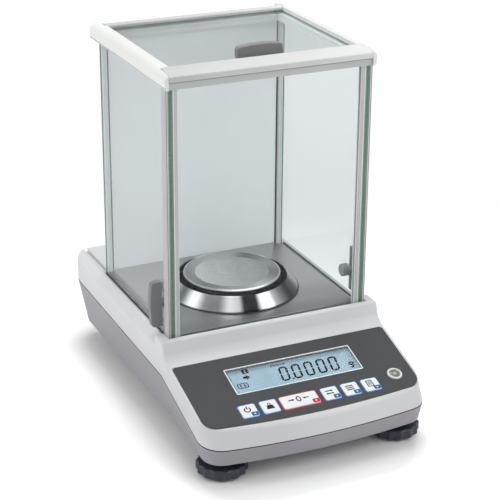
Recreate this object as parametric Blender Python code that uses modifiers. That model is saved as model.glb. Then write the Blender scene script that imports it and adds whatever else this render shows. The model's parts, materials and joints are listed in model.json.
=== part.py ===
"""Analytical balance with a glass draught shield, three sliding doors and screw feet.

Metres, +Z up. The front faces -Y and the origin is on the bench, under the middle of the base.
"""
import math

import bmesh
import bpy
from mathutils import Matrix, Vector

MM = 0.001

# Clearances, and how far a cutter passes the face that it cuts
GAP = 0.3 * MM
FIT = 0.4 * MM
OVERSHOOT = 2 * MM
FAR = 20 * MM
MERGE = 0.01 * MM

# Base with its bowed front
HALF_WIDTH = 105 * MM
HALF_DEPTH = 170 * MM
FRONT_BOW = 9 * MM
CORNER_RADIUS = 20 * MM
WALL = 3 * MM
TRAY_BOTTOM = 17 * MM
TRAY_TAPER = 0.187

# Seam between tray and housing, as depth and height along the side
SEAM = 0.8 * MM
SEAM_REAR_Z = 62 * MM
SEAM_BEND = (-62 * MM, 57.5 * MM)
SEAM_CORNER = (-141 * MM, 33.2 * MM)
SEAM_FRONT_Z = 32.2 * MM

# Upper housing: deck, front rim and sloping console
DECK_Z = 85.5 * MM
DECK_EDGE_Z = 86.1 * MM
DECK_THICK = 5.5 * MM
RIM_Z = 89.4 * MM
RIM_FRONT = -63.2 * MM
RIM_BACK = -47.5 * MM
RIM_INNER = 96.2 * MM
DECK_FRONT = -59.6 * MM
SHOULDER_INNER = 96.5 * MM
SHOULDER_DROP = 5 * MM
SHOULDER_ROUND = 3.5 * MM
RIM_FOOT = (-67.2 * MM, 79.3 * MM)
RIM_CORNER = (-69.5 * MM, 73.6 * MM)
CONSOLE_BACK = (-78.4 * MM, 70.84 * MM)
CONSOLE_SLOPE = math.radians(17)
FRONT_LEAN = 0.547
EDGE_ROUND = 2.2 * MM
LOFT_HEIGHTS = (15 * MM, 95 * MM)

# Console panel, measured across and down the slope from its back edge
OVERLAY_HALF_WIDTH = 101.7 * MM
OVERLAY_DEPTH = 82.8 * MM
OVERLAY_BOW = 6 * MM
OVERLAY_FRONT_RADIUS = 13 * MM
OVERLAY_BACK_RADIUS = 3 * MM
OVERLAY_THICK = 0.9 * MM
OVERLAY_RISE = 0.2 * MM
RECESS_DEPTH = 1 * MM
HOLE_BOTTOM = -9 * MM
DISPLAY_HALF_WIDTH = 59.6 * MM
DISPLAY_BACK = 15 * MM
DISPLAY_FRONT = 45 * MM
DISPLAY_LEDGE = 2.2 * MM
LCD_TOP = -1.2 * MM
KEY_BACK = 59 * MM
KEY_FRONT = 73.5 * MM
KEY_RISE = 0.8 * MM
KEY_FOOT = 3.6 * MM
KEY_ROUND = 1.6 * MM
KEY_EDGE = 0.4 * MM
KEYS = {
    "key_power": (-59 * MM, 15 * MM),
    "key_calibrate": (-39.5 * MM, 15 * MM),
    "key_tare": (-11.5 * MM, 34 * MM),
    "key_unit": (18 * MM, 15 * MM),
    "key_menu": (37.5 * MM, 15 * MM),
    "key_print": (57 * MM, 15 * MM),
}
LEVEL_PLACE = (84 * MM, -59.5 * MM)
LEVEL_RADIUS = 6.8 * MM
LEVEL_WELL = 5 * MM
LEVEL_RISE = 1 * MM
LEVEL_BOTTOM = -8 * MM

# Board and key mat under the console, in the console's frame
BOARD_THICK = 1.6 * MM
DISPLAY_BOARD_TOP = -5.8 * MM
DISPLAY_BOARD_X = (-78 * MM, 74 * MM)
DISPLAY_BOARD_Y = (-77 * MM, -11 * MM)
DISPLAY_POSTS_X = (-75 * MM, 71 * MM)
DISPLAY_POSTS_Y = (-74 * MM, -14 * MM)
DISPLAY_POST_RADIUS = 2.5 * MM
MAT_X = (-70 * MM, 68 * MM)
MAT_Y = (-76 * MM, -57 * MM)
DOME_Y = (-70 * MM, -62 * MM)
DOME_TOP = -4.2 * MM
MAT_TOP = -4.8 * MM

# Draught shield, with widths measured outwards from the middle
GLASS_INNER = 89.5 * MM
GLASS_OUTER = 93.1 * MM
GUIDE_OUTER = 95.8 * MM
GUIDE_DEPTH = 9.3 * MM
GUIDE_ROUND = 0.8 * MM
POST_INNER = 84.6 * MM
POST_FRONT = -56.8 * MM
POST_BACK = -50.6 * MM
REAR_POST_FRONT = 103 * MM
REAR_POST_BACK = 113.6 * MM
DOOR_BACK = 105 * MM
PANE_FRONT = -55.4 * MM
PANE_BACK = -52.2 * MM
PANE_HOLD = 1.5 * MM
PANE_TOP = 313 * MM
PANE_EDGE = 0.4 * MM
PANEL_FRONT = 105 * MM
PANEL_BACK = 108 * MM
GROOVE_BOTTOM = 82.2 * MM

# Top frame
RAIL_BOTTOM = 309.8 * MM
RAIL_TOP = 325 * MM
RAIL_OUTER = 97 * MM
RAIL_INNER = 86.5 * MM
RAIL_LIP = 82 * MM
RAIL_ROUND = 7.5 * MM
RAIL_CHAMFER = 1.6 * MM
RAIL_FRONT = -61 * MM
RAIL_BACK = 118 * MM
DOOR_SLOT_TOP = 312.9 * MM
TOP_GLASS_LOW = 317.2 * MM
TOP_GLASS_HIGH = 321 * MM
TOP_GLASS_FRONT = -52 * MM
TOP_GLASS_HALF_WIDTH = 89.6 * MM
SLOT_ROOT = 90 * MM
SLOT_LOW = TOP_GLASS_LOW - GAP
SLOT_HIGH = TOP_GLASS_HIGH + FIT
BAR_HALF = 93.4 * MM
BAR_BACK = -43 * MM
BAR_EDGE = (-61 * MM, 320.8 * MM)
BAR_SHOULDER = (-59.3 * MM, 322.4 * MM)
BAR_GROOVE_LOW = 315.8 * MM
BAR_GROOVE_HIGH = 316.4 * MM
BAR_GROOVE_ROOT = -58 * MM
BAR_LIP_FRONT = -59 * MM
REAR_BAR_FRONT = 100 * MM
REAR_BAR_BACK = 113 * MM
REAR_BAR_CHAMFER = 2 * MM
CROSSBAR_FRONT = 101 * MM
CROSSBAR_BACK = 109 * MM
CROSSBAR_SEAT = 2 * MM
CROSSBAR_EDGE = 0.8 * MM

# Door grips and the nuts that hold them
HANDLE_HALF = 21.3 * MM
HANDLE_CREST = 11.5 * MM
HANDLE_SHOULDER = 10.4 * MM
HANDLE_CHEEK = 6 * MM
HANDLE_SETBACK = 4 * MM
HANDLE_THICK = 7 * MM
HANDLE_EDGE = 1.2 * MM
HANDLE_Y = -35.5 * MM
HANDLE_Z = 113 * MM
TOP_HANDLE_Y = -31 * MM
KNOB_RADIUS = 5.5 * MM
KNOB_LENGTH = 7.4 * MM
KNOB_EDGE = 0.8 * MM
SCREW_RADIUS = 2.6 * MM
SCREW_REACH = 5 * MM

# Weighing pan, its support and its draught ring
PAN_Y = 23.5 * MM
PAN_RADIUS = 45 * MM
PAN_TOP = 104 * MM
PAN_SHEET = 1.2 * MM
PAN_SKIRT = 4 * MM
PAN_ROLL = 1.4 * MM
DISH_RADIUS = 34 * MM
DISH_DEPTH = 1.6 * MM
DISH_FLANK = 3 * MM
SUPPORT_RADIUS = 24 * MM
SUPPORT_THICK = 2.4 * MM
STEM_RADIUS = 8 * MM
STEM_BORE = 5.5 * MM
STEM_OVERLAP = 8 * MM
RECEPTOR_TIP = 84 * MM
RECEPTOR_RADIUS = 5 * MM
RECEPTOR_COLLAR = 10 * MM
RING_BASE_RADIUS = 61 * MM
RING_TOP_RADIUS = 52 * MM
RING_TOP = 100.8 * MM
RING_SHEET = 1.4 * MM
FLOOR_TOP = 88 * MM
FLOOR_HOLE = 14 * MM
FLOOR_EDGE = 0.6 * MM

# Feet
FOOT_X = 82.6 * MM
FOOT_Y = -139.9 * MM
BUSH_RADIUS = 13 * MM
WHEEL_RADIUS = 21.2 * MM
WHEEL_LOBE = 0.9 * MM
WHEEL_LOBES = 14
POINTS_PER_LOBE = 4
WHEEL_BOTTOM = 2 * MM
WHEEL_TOP = 10.6 * MM
WHEEL_EDGE = 0.9 * MM
STUD_RADIUS = 4 * MM
STUD_TOP = 33 * MM
PAD_RADIUS = 15 * MM
PAD_TOP = 1.7 * MM
PAD_EDGE = 0.5 * MM
PAD_STUB_RADIUS = 5 * MM
PAD_STUB_TOP = 6 * MM
BUSH_FLANGE = 16 * MM
BUSH_HEIGHT = 3 * MM
REAR_FOOT_X = 66 * MM
REAR_FOOT_Y = 138 * MM
REAR_FOOT_RADIUS = 10 * MM
REAR_FOOT_FLANGE = 12 * MM
REAR_FOOT_STEP = 3 * MM

# Weighing cell and main board
CELL_FRONT = 10 * MM
CELL_BACK = 100 * MM
CELL_LOW = 34 * MM
CELL_TOP = 70 * MM
CELL_HALF_WIDTH = 22 * MM
CELL_PLATE_HALF_WIDTH = 28 * MM
CELL_PLATE_FRONT = 4 * MM
CELL_PLATE_MARGIN = 2 * MM
GUIDE_FRONT = 32 * MM
GUIDE_BACK = 88 * MM
GUIDE_SKIN = 5 * MM
GUIDE_SLOT_HALF = 0.6 * MM
FLEXURE_RADIUS = 3.2 * MM
LEVER_INSET = 8 * MM
LEVER_DROP = 12 * MM
MAGNET_Y = 128 * MM
MAGNET_TOP = 60 * MM
MAGNET_RADIUS = 20 * MM
MAGNET_BORE = 15 * MM
MAGNET_CORE = 8 * MM
MAGNET_FLOOR = 39 * MM
COIL_RADII = (10 * MM, 13 * MM)
COIL_CLEAR = 3 * MM
LEVER_HALF_WIDTH = 5 * MM
LEVER_THICK = 4 * MM
BOARD_X = (38 * MM, 90 * MM)
BOARD_Y = (-30 * MM, 118 * MM)
BOARD_Z = 30 * MM
BOARD_BOSS_INSET = 6 * MM
BOARD_BOSS_RADIUS = 3 * MM

# Connectors in the rear wall: place across and half width
PORTS = {"dc_inlet": (62 * MM, 7 * MM), "data_port": (12 * MM, 15.5 * MM)}
PORT_Z = 74 * MM
PORT_HALF_HEIGHT = 6 * MM
PORT_FACE = HALF_DEPTH - 0.5 * MM
PORT_FLANGE = 1.4 * MM
PORT_LENGTH = 12 * MM
SOCKET_DEPTH = 8 * MM
INLET_RADIUS = 4.2 * MM
DATA_HALF_TOP = 8.6 * MM
DATA_HALF_BOTTOM = 7.2 * MM
DATA_HALF_HEIGHT = 4.2 * MM

# Facets round a circle
FINE_STEPS = 48
ROUND_STEPS = 28
SMALL_STEPS = 20
PIN_STEPS = 12


def start_scene():
    """Empty the scene and make the two collections."""
    for item in list(bpy.data.objects):
        bpy.data.objects.remove(item, do_unlink=True)
    made = []
    for label in ("analytical_balance", "cutters"):
        group = bpy.data.collections.new(label)
        bpy.context.scene.collection.children.link(group)
        made.append(group)
    return made


PARTS, CUTTERS = start_scene()


def finish(name, colour, roughness, metallic=0.0, alpha=1.0):
    """Principled material."""
    made = bpy.data.materials.new(name)
    made.use_nodes = True
    shader = made.node_tree.nodes["Principled BSDF"]
    shader.inputs["Base Color"].default_value = (*colour, 1)
    shader.inputs["Roughness"].default_value = roughness
    shader.inputs["Metallic"].default_value = metallic
    shader.inputs["Alpha"].default_value = alpha
    return made


WHITE = finish("white_housing", (0.80, 0.80, 0.82), 0.45)
GREY = finish("grey_tray", (0.29, 0.28, 0.31), 0.5)
FRAME = finish("frame_white", (0.82, 0.83, 0.82), 0.4)
GLASS = finish("glass", (0.80, 0.88, 0.86), 0.02, 0.0, 0.25)
PANEL = finish("back_panel", (0.60, 0.63, 0.65), 0.4)
STEEL = finish("brushed_steel", (0.55, 0.54, 0.53), 0.3, 1.0)
OVERLAY = finish("overlay", (0.09, 0.09, 0.095), 0.4)
KEY_WHITE = finish("key_white", (0.85, 0.86, 0.88), 0.4)
DARK = finish("dark_plastic", (0.10, 0.10, 0.105), 0.5)
RUBBER = finish("rubber", (0.05, 0.045, 0.06), 0.8)
ALLOY = finish("alloy", (0.65, 0.66, 0.68), 0.4, 1.0)
BOARD = finish("circuit_board", (0.02, 0.16, 0.07), 0.5)
LCD = finish("lcd", (0.38, 0.51, 0.60), 0.25)
BRASS = finish("brass", (0.62, 0.45, 0.18), 0.35, 1.0)


def adopt(item, material, smooth=False):
    """Put a finished piece in the parts collection with its own material."""
    item.data.materials.clear()
    item.data.materials.append(material)
    if smooth:
        item.data.shade_smooth()
        item.data.set_sharp_from_angle(angle=math.radians(35))
    for group in list(item.users_collection):
        group.objects.unlink(item)
    PARTS.objects.link(item)
    return item


def from_bmesh(name, shape):
    """Object from a finished bmesh, in the scene's root collection for now."""
    mesh = bpy.data.meshes.new(name)
    shape.to_mesh(mesh)
    shape.free()
    item = bpy.data.objects.new(name, mesh)
    bpy.context.scene.collection.objects.link(item)
    return item


def block(name, low, high):
    """Box between two corners."""
    shape = bmesh.new()
    bmesh.ops.create_cube(shape, size=1)
    size = Vector(high) - Vector(low)
    middle = (Vector(high) + Vector(low)) / 2
    place = Matrix.Translation(middle) @ Matrix.Diagonal((*size, 1))
    bmesh.ops.transform(shape, matrix=place, verts=shape.verts)
    return from_bmesh(name, shape)


def rod(name, radius, low, high, centre=(0, 0), sides=ROUND_STEPS):
    """Upright cylinder."""
    shape = bmesh.new()
    place = Matrix.Translation((*centre, (low + high) / 2))
    bmesh.ops.create_cone(shape, cap_ends=True, segments=sides, radius1=radius, radius2=radius,
                          depth=high - low, matrix=place)
    return from_bmesh(name, shape)


PLANES = {
    "XY": Matrix.Identity(4),
    "YZ": Matrix(((0, 0, 1, 0), (1, 0, 0, 0), (0, 1, 0, 0), (0, 0, 0, 1))),
    "XZ": Matrix(((1, 0, 0, 0), (0, 0, 1, 0), (0, 1, 0, 0), (0, 0, 0, 1))),
}


def flat_shape(name, outline, low, high, plane="XY"):
    """Solid with a flat outline, from low to high along the third axis."""
    curve = bpy.data.curves.new(name, "CURVE")
    curve.dimensions = "2D"
    curve.fill_mode = "BOTH"
    curve.extrude = (high - low) / 2
    spline = curve.splines.new("POLY")
    spline.points.add(len(outline) - 1)
    for point, (a, b) in zip(spline.points, outline):
        point.co = (a, b, 0, 1)
    spline.use_cyclic_u = True
    drawn = bpy.data.objects.new(name, curve)
    bpy.context.scene.collection.objects.link(drawn)
    seen = drawn.evaluated_get(bpy.context.evaluated_depsgraph_get())
    mesh = bpy.data.meshes.new_from_object(seen)
    bpy.data.objects.remove(drawn, do_unlink=True)
    bpy.data.curves.remove(curve)
    shape = bmesh.new()
    shape.from_mesh(mesh)
    bpy.data.meshes.remove(mesh)
    bmesh.ops.remove_doubles(shape, verts=shape.verts, dist=1e-6)
    bmesh.ops.dissolve_limit(shape, angle_limit=math.radians(0.1), verts=shape.verts, edges=shape.edges)
    place = PLANES[plane] @ Matrix.Translation((0, 0, (low + high) / 2))
    bmesh.ops.transform(shape, matrix=place, verts=shape.verts)
    bmesh.ops.recalc_face_normals(shape, faces=shape.faces)
    return from_bmesh(name, shape)


def loft(name, rings):
    """Solid skinned over rings of points with equal counts, capped at both ends."""
    shape = bmesh.new()
    loops = [[shape.verts.new(point) for point in ring] for ring in rings]
    count = len(loops[0])
    for lower, upper in zip(loops, loops[1:]):
        for i in range(count):
            j = (i + 1) % count
            shape.faces.new((lower[i], lower[j], upper[j], upper[i]))
    shape.faces.new(loops[0])
    shape.faces.new(loops[-1])
    bmesh.ops.recalc_face_normals(shape, faces=shape.faces)
    return from_bmesh(name, shape)


def turned(name, profile, centre=(0, 0), steps=ROUND_STEPS, closed=False):
    """Profile of radius and height, spun round an upright axis. It runs down its outer side."""
    mesh = bpy.data.meshes.new(name)
    count = len(profile)
    edges = [(i, i + 1) for i in range(count - 1)]
    if closed:
        edges.append((count - 1, 0))
    mesh.from_pydata([(radius, 0, height) for radius, height in profile], edges, [])
    item = bpy.data.objects.new(name, mesh)
    bpy.context.scene.collection.objects.link(item)
    item.location = (*centre, 0)
    spin = item.modifiers.new("spin", "SCREW")
    spin.axis = "Z"
    spin.steps = steps
    spin.render_steps = steps
    spin.use_merge_vertices = True
    spin.merge_threshold = MERGE
    spin.use_normal_calculate = False
    return item


def soften(item, width, segments=1, angle=30):
    """Round or chamfer the sharp edges of a piece."""
    edge = item.modifiers.new("soft_edges", "BEVEL")
    edge.width = width
    edge.segments = segments
    edge.limit_method = "ANGLE"
    edge.angle_limit = math.radians(angle)
    return item


def combine(item, tool, operation):
    """Cut, join or trim a piece with a tool that stays hidden in the cutters collection."""
    step = item.modifiers.new(tool.name, "BOOLEAN")
    step.operation = operation
    step.solver = "EXACT"
    step.object = tool
    tool.hide_render = True
    tool.display_type = "WIRE"
    for group in list(tool.users_collection):
        group.objects.unlink(tool)
    CUTTERS.objects.link(tool)
    return item


def weld(item):
    """Merge the points that a cut leaves on top of each other."""
    step = item.modifiers.new("weld", "WELD")
    step.merge_threshold = MERGE


def cut(item, tool):
    return combine(item, tool, "DIFFERENCE")


def join(item, tool):
    return combine(item, tool, "UNION")


def trim(item, tool):
    return combine(item, tool, "INTERSECT")


def gather(name, pieces):
    """Several closed shapes as one tool, for a repeated cut."""
    shape = bmesh.new()
    for piece in pieces:
        shape.from_mesh(piece.data)
        bpy.data.objects.remove(piece, do_unlink=True)
    return from_bmesh(name, shape)


def set_origin(item, origin):
    """Move a piece's origin to its joint without moving the piece."""
    item.data.transform(Matrix.Translation(-Vector(origin)) @ item.matrix_basis)
    item.matrix_basis = Matrix.Translation(origin)
    return item


def arc(centre, radius, start, end, count):
    """Points on a circle, from one angle to another in degrees."""
    points = []
    for i in range(count + 1):
        turn = math.radians(start + (end - start) * i / count)
        points.append((centre[0] + radius * math.cos(turn), centre[1] + radius * math.sin(turn)))
    return points


def circle(centre, radius, count):
    """Closed ring of points."""
    return arc(centre, radius, 0, 360, count)[:-1]


def blend(start, corner, end, count=5):
    """Points on a smooth curve from start to end, drawn towards a corner."""
    points = []
    for i in range(count + 1):
        t = i / count
        points.append(tuple((1 - t) ** 2 * a + 2 * t * (1 - t) * b + t ** 2 * c
                            for a, b, c in zip(start, corner, end)))
    return points


def rounded_box(half_x, y_low, y_high, radius, centre_x=0.0, count=3):
    """Outline of a rectangle with round corners."""
    left, right = centre_x - half_x + radius, centre_x + half_x - radius
    low, high = y_low + radius, y_high - radius
    return (arc((right, low), radius, -90, 0, count) + arc((right, high), radius, 0, 90, count)
            + arc((left, high), radius, 90, 180, count) + arc((left, low), radius, 180, 270, count))


def bowed_plan(half_width, front, back, bow, front_radius, back_radius, side_breaks=()):
    """Outline with straight sides, round corners and a front that bows outwards, anticlockwise."""
    bow_steps, corner_steps, settling_rounds = 6, 6, 8
    meet = half_width - front_radius
    for _ in range(settling_rounds):
        lean = math.atan(2 * bow * meet / half_width ** 2)
        meet = half_width - front_radius + front_radius * math.sin(lean)
    meet_y = front + bow * (meet / half_width) ** 2
    corner = (half_width - front_radius, meet_y + front_radius * math.cos(lean))
    half = []
    for i in range(bow_steps):
        x = meet * i / bow_steps
        half.append((x, front + bow * (x / half_width) ** 2))
    half += arc(corner, front_radius, math.degrees(lean) - 90, 0, corner_steps)
    half += [(half_width, y) for y in side_breaks]
    half += arc((half_width - back_radius, back - back_radius), back_radius, 0, 90, corner_steps)
    return half + [(-x, y) for x, y in reversed(half[1:])]


def inset(outline, amounts):
    """Outline moved inwards at each point, along the middle of its two edge normals."""
    sharpest = 0.5
    moved = []
    count = len(outline)
    for i, (x, y) in enumerate(outline):
        before = Vector(outline[i]) - Vector(outline[i - 1])
        after = Vector(outline[(i + 1) % count]) - Vector(outline[i])
        first = Vector((-before.y, before.x)).normalized()
        second = Vector((-after.y, after.x)).normalized()
        across = (first + second).normalized()
        reach = amounts[i] / max(across.dot(first), sharpest)
        moved.append((x + across.x * reach, y + across.y * reach))
    return moved


def mirrored(side, outline):
    """Outline given for the right side, on either side."""
    return [(side * x, y) for x, y in outline]


def side_name(side):
    return "left" if side < 0 else "right"


def seam_height(y):
    """Height of the seam between tray and housing at a depth."""
    stations = [(-HALF_DEPTH, SEAM_FRONT_Z), SEAM_CORNER, SEAM_BEND, (HALF_DEPTH, SEAM_REAR_Z)]
    for (y0, z0), (y1, z1) in zip(stations, stations[1:]):
        if y <= y1:
            return z0 + (z1 - z0) * (y - y0) / (y1 - y0)
    return SEAM_REAR_Z


def console_height(y):
    """Height of the console's plane at a depth."""
    return CONSOLE_BACK[1] + (y - CONSOLE_BACK[0]) * math.tan(CONSOLE_SLOPE)


def console_empty():
    """Frame on the console: x across, -y down the slope, z out of the panel."""
    frame = bpy.data.objects.new("console_frame", None)
    PARTS.objects.link(frame)
    frame.location = (0, *CONSOLE_BACK)
    frame.rotation_euler = (CONSOLE_SLOPE, 0, 0)
    return frame


CONSOLE = console_empty()


def on_console(item):
    """Hang a piece, drawn in the console's own frame, on the console."""
    item.parent = CONSOLE
    return item


def bottom_tray():
    """Tapered tray: outer skin, rim, inner skin and floor in one loft, with holes for the feet."""
    breaks = (SEAM_CORNER[0], SEAM_BEND[0], 0.0)
    outline = bowed_plan(HALF_WIDTH, -HALF_DEPTH, HALF_DEPTH, FRONT_BOW, CORNER_RADIUS, CORNER_RADIUS, breaks)
    drop = [TRAY_TAPER * (seam_height(y) - TRAY_BOTTOM) for _, y in outline]
    edge = [seam_height(y) - SEAM for _, y in outline]
    floor = TRAY_BOTTOM + WALL
    outer_low = inset(outline, drop)
    inner_high = inset(outline, [WALL] * len(outline))
    inner_low = inset(outline, [WALL + amount for amount in drop])
    tray = loft("bottom_tray", [
        [(x, y, TRAY_BOTTOM) for x, y in outer_low],
        [(x, y, z) for (x, y), z in zip(outline, edge)],
        [(x, y, z) for (x, y), z in zip(inner_high, edge)],
        [(x, y, floor) for x, y in inner_low],
    ])
    root = floor - WALL / 2
    bosses, holes = [], []
    for side in (-1, 1):
        holes.append(rod("bush_hole", BUSH_RADIUS + GAP, TRAY_BOTTOM - OVERSHOOT, floor + OVERSHOOT,
                         (side * FOOT_X, FOOT_Y)))
    for x in (BOARD_X[0] + BOARD_BOSS_INSET, BOARD_X[1] - BOARD_BOSS_INSET):
        for y in (BOARD_Y[0] + BOARD_BOSS_INSET, BOARD_Y[1] - BOARD_BOSS_INSET):
            bosses.append(rod("board_boss", BOARD_BOSS_RADIUS, root, BOARD_Z - GAP, (x, y), PIN_STEPS))
    join(tray, gather("tray_bosses", bosses))
    cut(tray, gather("tray_holes", holes))
    return adopt(tray, GREY)


def housing_section(floor):
    """Side section of the housing: rim height, hollow fillet and console."""
    back, front = HALF_DEPTH + FAR, -HALF_DEPTH - FAR
    top = [(back, RIM_Z), (RIM_FRONT, RIM_Z)] + blend(RIM_FOOT, RIM_CORNER, CONSOLE_BACK)
    return top + [(front, console_height(front)), (front, floor), (back, floor)]


def cavity_section(floor):
    """Side section of the hollow under the deck and the console."""
    back, front = HALF_DEPTH + FAR, -HALF_DEPTH - FAR
    drop = WALL / math.cos(CONSOLE_SLOPE)
    step = RIM_FOOT[0] + WALL
    return [(back, DECK_Z - DECK_THICK), (step, DECK_Z - DECK_THICK), (step, console_height(step) - drop),
            (front, console_height(front) - drop), (front, floor), (back, floor)]


def housing_solid(name, skin, section):
    """Housing outline lofted upwards with a leaning front, trimmed to a side section."""
    rings = []
    for z in LOFT_HEIGHTS:
        front = -HALF_DEPTH + FRONT_LEAN * (z - SEAM_FRONT_Z)
        plan = bowed_plan(HALF_WIDTH, front, HALF_DEPTH, FRONT_BOW, CORNER_RADIUS, CORNER_RADIUS, (0.0,))
        rings.append([(x, y, z) for x, y in inset(plan, [skin] * len(plan))])
    solid = loft(name, rings)
    reach = HALF_WIDTH + FAR
    floor = LOFT_HEIGHTS[0] + OVERSHOOT
    return trim(solid, flat_shape(name + "_section", section(floor), -reach, reach, "YZ"))


def above_deck():
    """Everything over the deck and its sloping shoulders, behind the rim's cheeks, as a tool."""
    reach, edge = HALF_WIDTH + FAR, HALF_WIDTH + GAP
    slope = SHOULDER_DROP / (HALF_WIDTH - SHOULDER_INNER)
    crest = edge - SHOULDER_ROUND
    corner = (edge, DECK_EDGE_Z - slope * (edge - SHOULDER_INNER))
    foot = (edge, corner[1] - SHOULDER_ROUND)
    right = [(SHOULDER_INNER, DECK_EDGE_Z)]
    right += blend((crest, DECK_EDGE_Z - slope * (crest - SHOULDER_INNER)), corner, foot, 4)
    right += [(reach, foot[1]), (reach, RIM_Z + FAR)]
    outline = right + [(-x, z) for x, z in reversed(right)]
    return flat_shape("above_deck", outline, RIM_BACK, HALF_DEPTH + FAR, "XZ")


def rear_edge():
    """Tool that rounds the deck's rear edge."""
    back, far = HALF_DEPTH + GAP, HALF_DEPTH + FAR
    low, high = DECK_EDGE_Z - EDGE_ROUND, RIM_Z + FAR
    outline = [(back - EDGE_ROUND, high)]
    outline += blend((back - EDGE_ROUND, DECK_EDGE_Z + GAP), (back, DECK_EDGE_Z), (back, low), 4)
    outline += [(far, low), (far, high)]
    reach = HALF_WIDTH + FAR
    return flat_shape("rear_edge", outline, -reach, reach, "YZ")


def below_seam():
    """Everything under the seam, as a tool."""
    front, back = -HALF_DEPTH - FAR, HALF_DEPTH + FAR
    line = [(front, SEAM_FRONT_Z), (-HALF_DEPTH, SEAM_FRONT_Z), SEAM_CORNER, SEAM_BEND,
            (HALF_DEPTH, SEAM_REAR_Z), (back, SEAM_REAR_Z)]
    reach = HALF_WIDTH + FAR
    return flat_shape("below_seam", line + [(back, 0), (front, 0)], -reach, reach, "YZ")


def overlay_outline(margin):
    """Panel outline in the console frame, grown by a margin."""
    return bowed_plan(OVERLAY_HALF_WIDTH + margin, -OVERLAY_DEPTH - margin, margin, OVERLAY_BOW,
                      OVERLAY_FRONT_RADIUS + margin, OVERLAY_BACK_RADIUS)


def display_box(name, margin, low, high):
    """Block over the display's place, grown by a margin."""
    return block(name, (-DISPLAY_HALF_WIDTH - margin, -DISPLAY_FRONT - margin, low),
                 (DISPLAY_HALF_WIDTH + margin, -DISPLAY_BACK + margin, high))


def key_shape(name, margin, low, high):
    """Key plate with round corners, grown by a margin."""
    x, width = KEYS[name]
    outline = rounded_box(width / 2 + margin, -KEY_FRONT - margin, -KEY_BACK + margin, KEY_ROUND, x)
    return flat_shape(name, outline, low, high)


def console_holes(name, display_margin, low, high):
    """Openings for the display, the keys and the level, as one tool on the console."""
    holes = [display_box("display_hole", display_margin, low, high)]
    holes += [key_shape(key_name, FIT, low, high) for key_name in KEYS]
    holes.append(rod("level_hole", LEVEL_RADIUS + GAP, low, high, LEVEL_PLACE))
    return on_console(gather(name, holes))


def upper_housing():
    """Moulded shell with a deck for the draught shield and a sloping console."""
    shell = housing_solid("upper_housing", 0, housing_section)
    soften(shell, EDGE_ROUND, 3, 40)
    shell.modifiers.new("flat_faces", "TRIANGULATE")
    cut(shell, above_deck())
    cut(shell, rear_edge())
    cut(shell, block("shield_seat", (-RIM_INNER, DECK_FRONT, DECK_Z),
                     (RIM_INNER, HALF_DEPTH + FAR, RIM_Z + OVERSHOOT)))
    cut(shell, below_seam())
    cut(shell, housing_solid("housing_cavity", WALL, cavity_section))
    weld(shell)
    cut(shell, on_console(flat_shape("overlay_recess", overlay_outline(FIT), -RECESS_DEPTH, WALL)))
    cut(shell, console_holes("housing_holes", -DISPLAY_LEDGE, HOLE_BOTTOM, OVERSHOOT))
    under = [rod("board_post", DISPLAY_POST_RADIUS, DISPLAY_BOARD_TOP + GAP, -OVERSHOOT, (x, y), PIN_STEPS)
             for x in DISPLAY_POSTS_X for y in DISPLAY_POSTS_Y]
    join(shell, on_console(gather("console_posts", under)))
    low, high = DECK_Z - DECK_THICK - OVERSHOOT, DECK_Z + OVERSHOOT
    deck = [rod("receptor_hole", FLOOR_HOLE, low, high, (0, PAN_Y))]
    for side in (-1, 1):
        left, right = sorted((side * (GLASS_INNER - GAP), side * (GLASS_OUTER + GAP)))
        deck.append(block("door_groove", (left, POST_FRONT - GAP, GROOVE_BOTTOM),
                          (right, HALF_DEPTH + FAR, high)))
    cut(shell, gather("deck_cuts", deck))
    rear = []
    for x, half in PORTS.values():
        reach, rise = half + GAP, PORT_HALF_HEIGHT + GAP
        rear.append(block("port_hole", (x - reach, HALF_DEPTH - PORT_LENGTH, PORT_Z - rise),
                          (x + reach, HALF_DEPTH + OVERSHOOT, PORT_Z + rise)))
    cut(shell, gather("port_cuts", rear))
    return adopt(shell, WHITE)


def console_overlay():
    """Panel foil in its recess, open over the display, the keys and the level."""
    foil = flat_shape("console_overlay", overlay_outline(0), OVERLAY_RISE - OVERLAY_THICK, OVERLAY_RISE)
    cut(foil, console_holes("overlay_holes", 0, -OVERSHOOT, OVERSHOOT))
    return adopt(on_console(foil), OVERLAY)


def display_window():
    """Clear pane that fills the opening in the foil."""
    pane = display_box("display_window", -GAP, OVERLAY_RISE - OVERLAY_THICK, OVERLAY_RISE)
    return adopt(on_console(pane), GLASS)


def lcd_module():
    """Display with a raised glass that comes up into the housing's window."""
    flange = 1 * MM
    module = display_box("lcd_module", flange, DISPLAY_BOARD_TOP + GAP, -WALL - GAP)
    raised = display_box("lcd_glass", -DISPLAY_LEDGE - 2 * GAP, -WALL - flange, LCD_TOP)
    return adopt(on_console(join(module, on_console(raised))), LCD)


def display_board():
    """Circuit board under the display and the keys."""
    board = block("display_board", (DISPLAY_BOARD_X[0], DISPLAY_BOARD_Y[0], DISPLAY_BOARD_TOP - BOARD_THICK),
                  (DISPLAY_BOARD_X[1], DISPLAY_BOARD_Y[1], DISPLAY_BOARD_TOP))
    return adopt(on_console(board), BOARD)


def keypad_mat():
    """Rubber sheet under the keys, with one dome for each key."""
    low = DISPLAY_BOARD_TOP + GAP
    sheet = block("keypad_mat", (MAT_X[0], MAT_Y[0], low), (MAT_X[1], MAT_Y[1], MAT_TOP))
    domes = []
    for x, width in KEYS.values():
        half = width / 3
        domes.append(block("dome", (x - half, DOME_Y[0], low + GAP), (x + half, DOME_Y[1], DOME_TOP)))
    return adopt(on_console(join(sheet, on_console(gather("mat_domes", domes)))), RUBBER)


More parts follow.
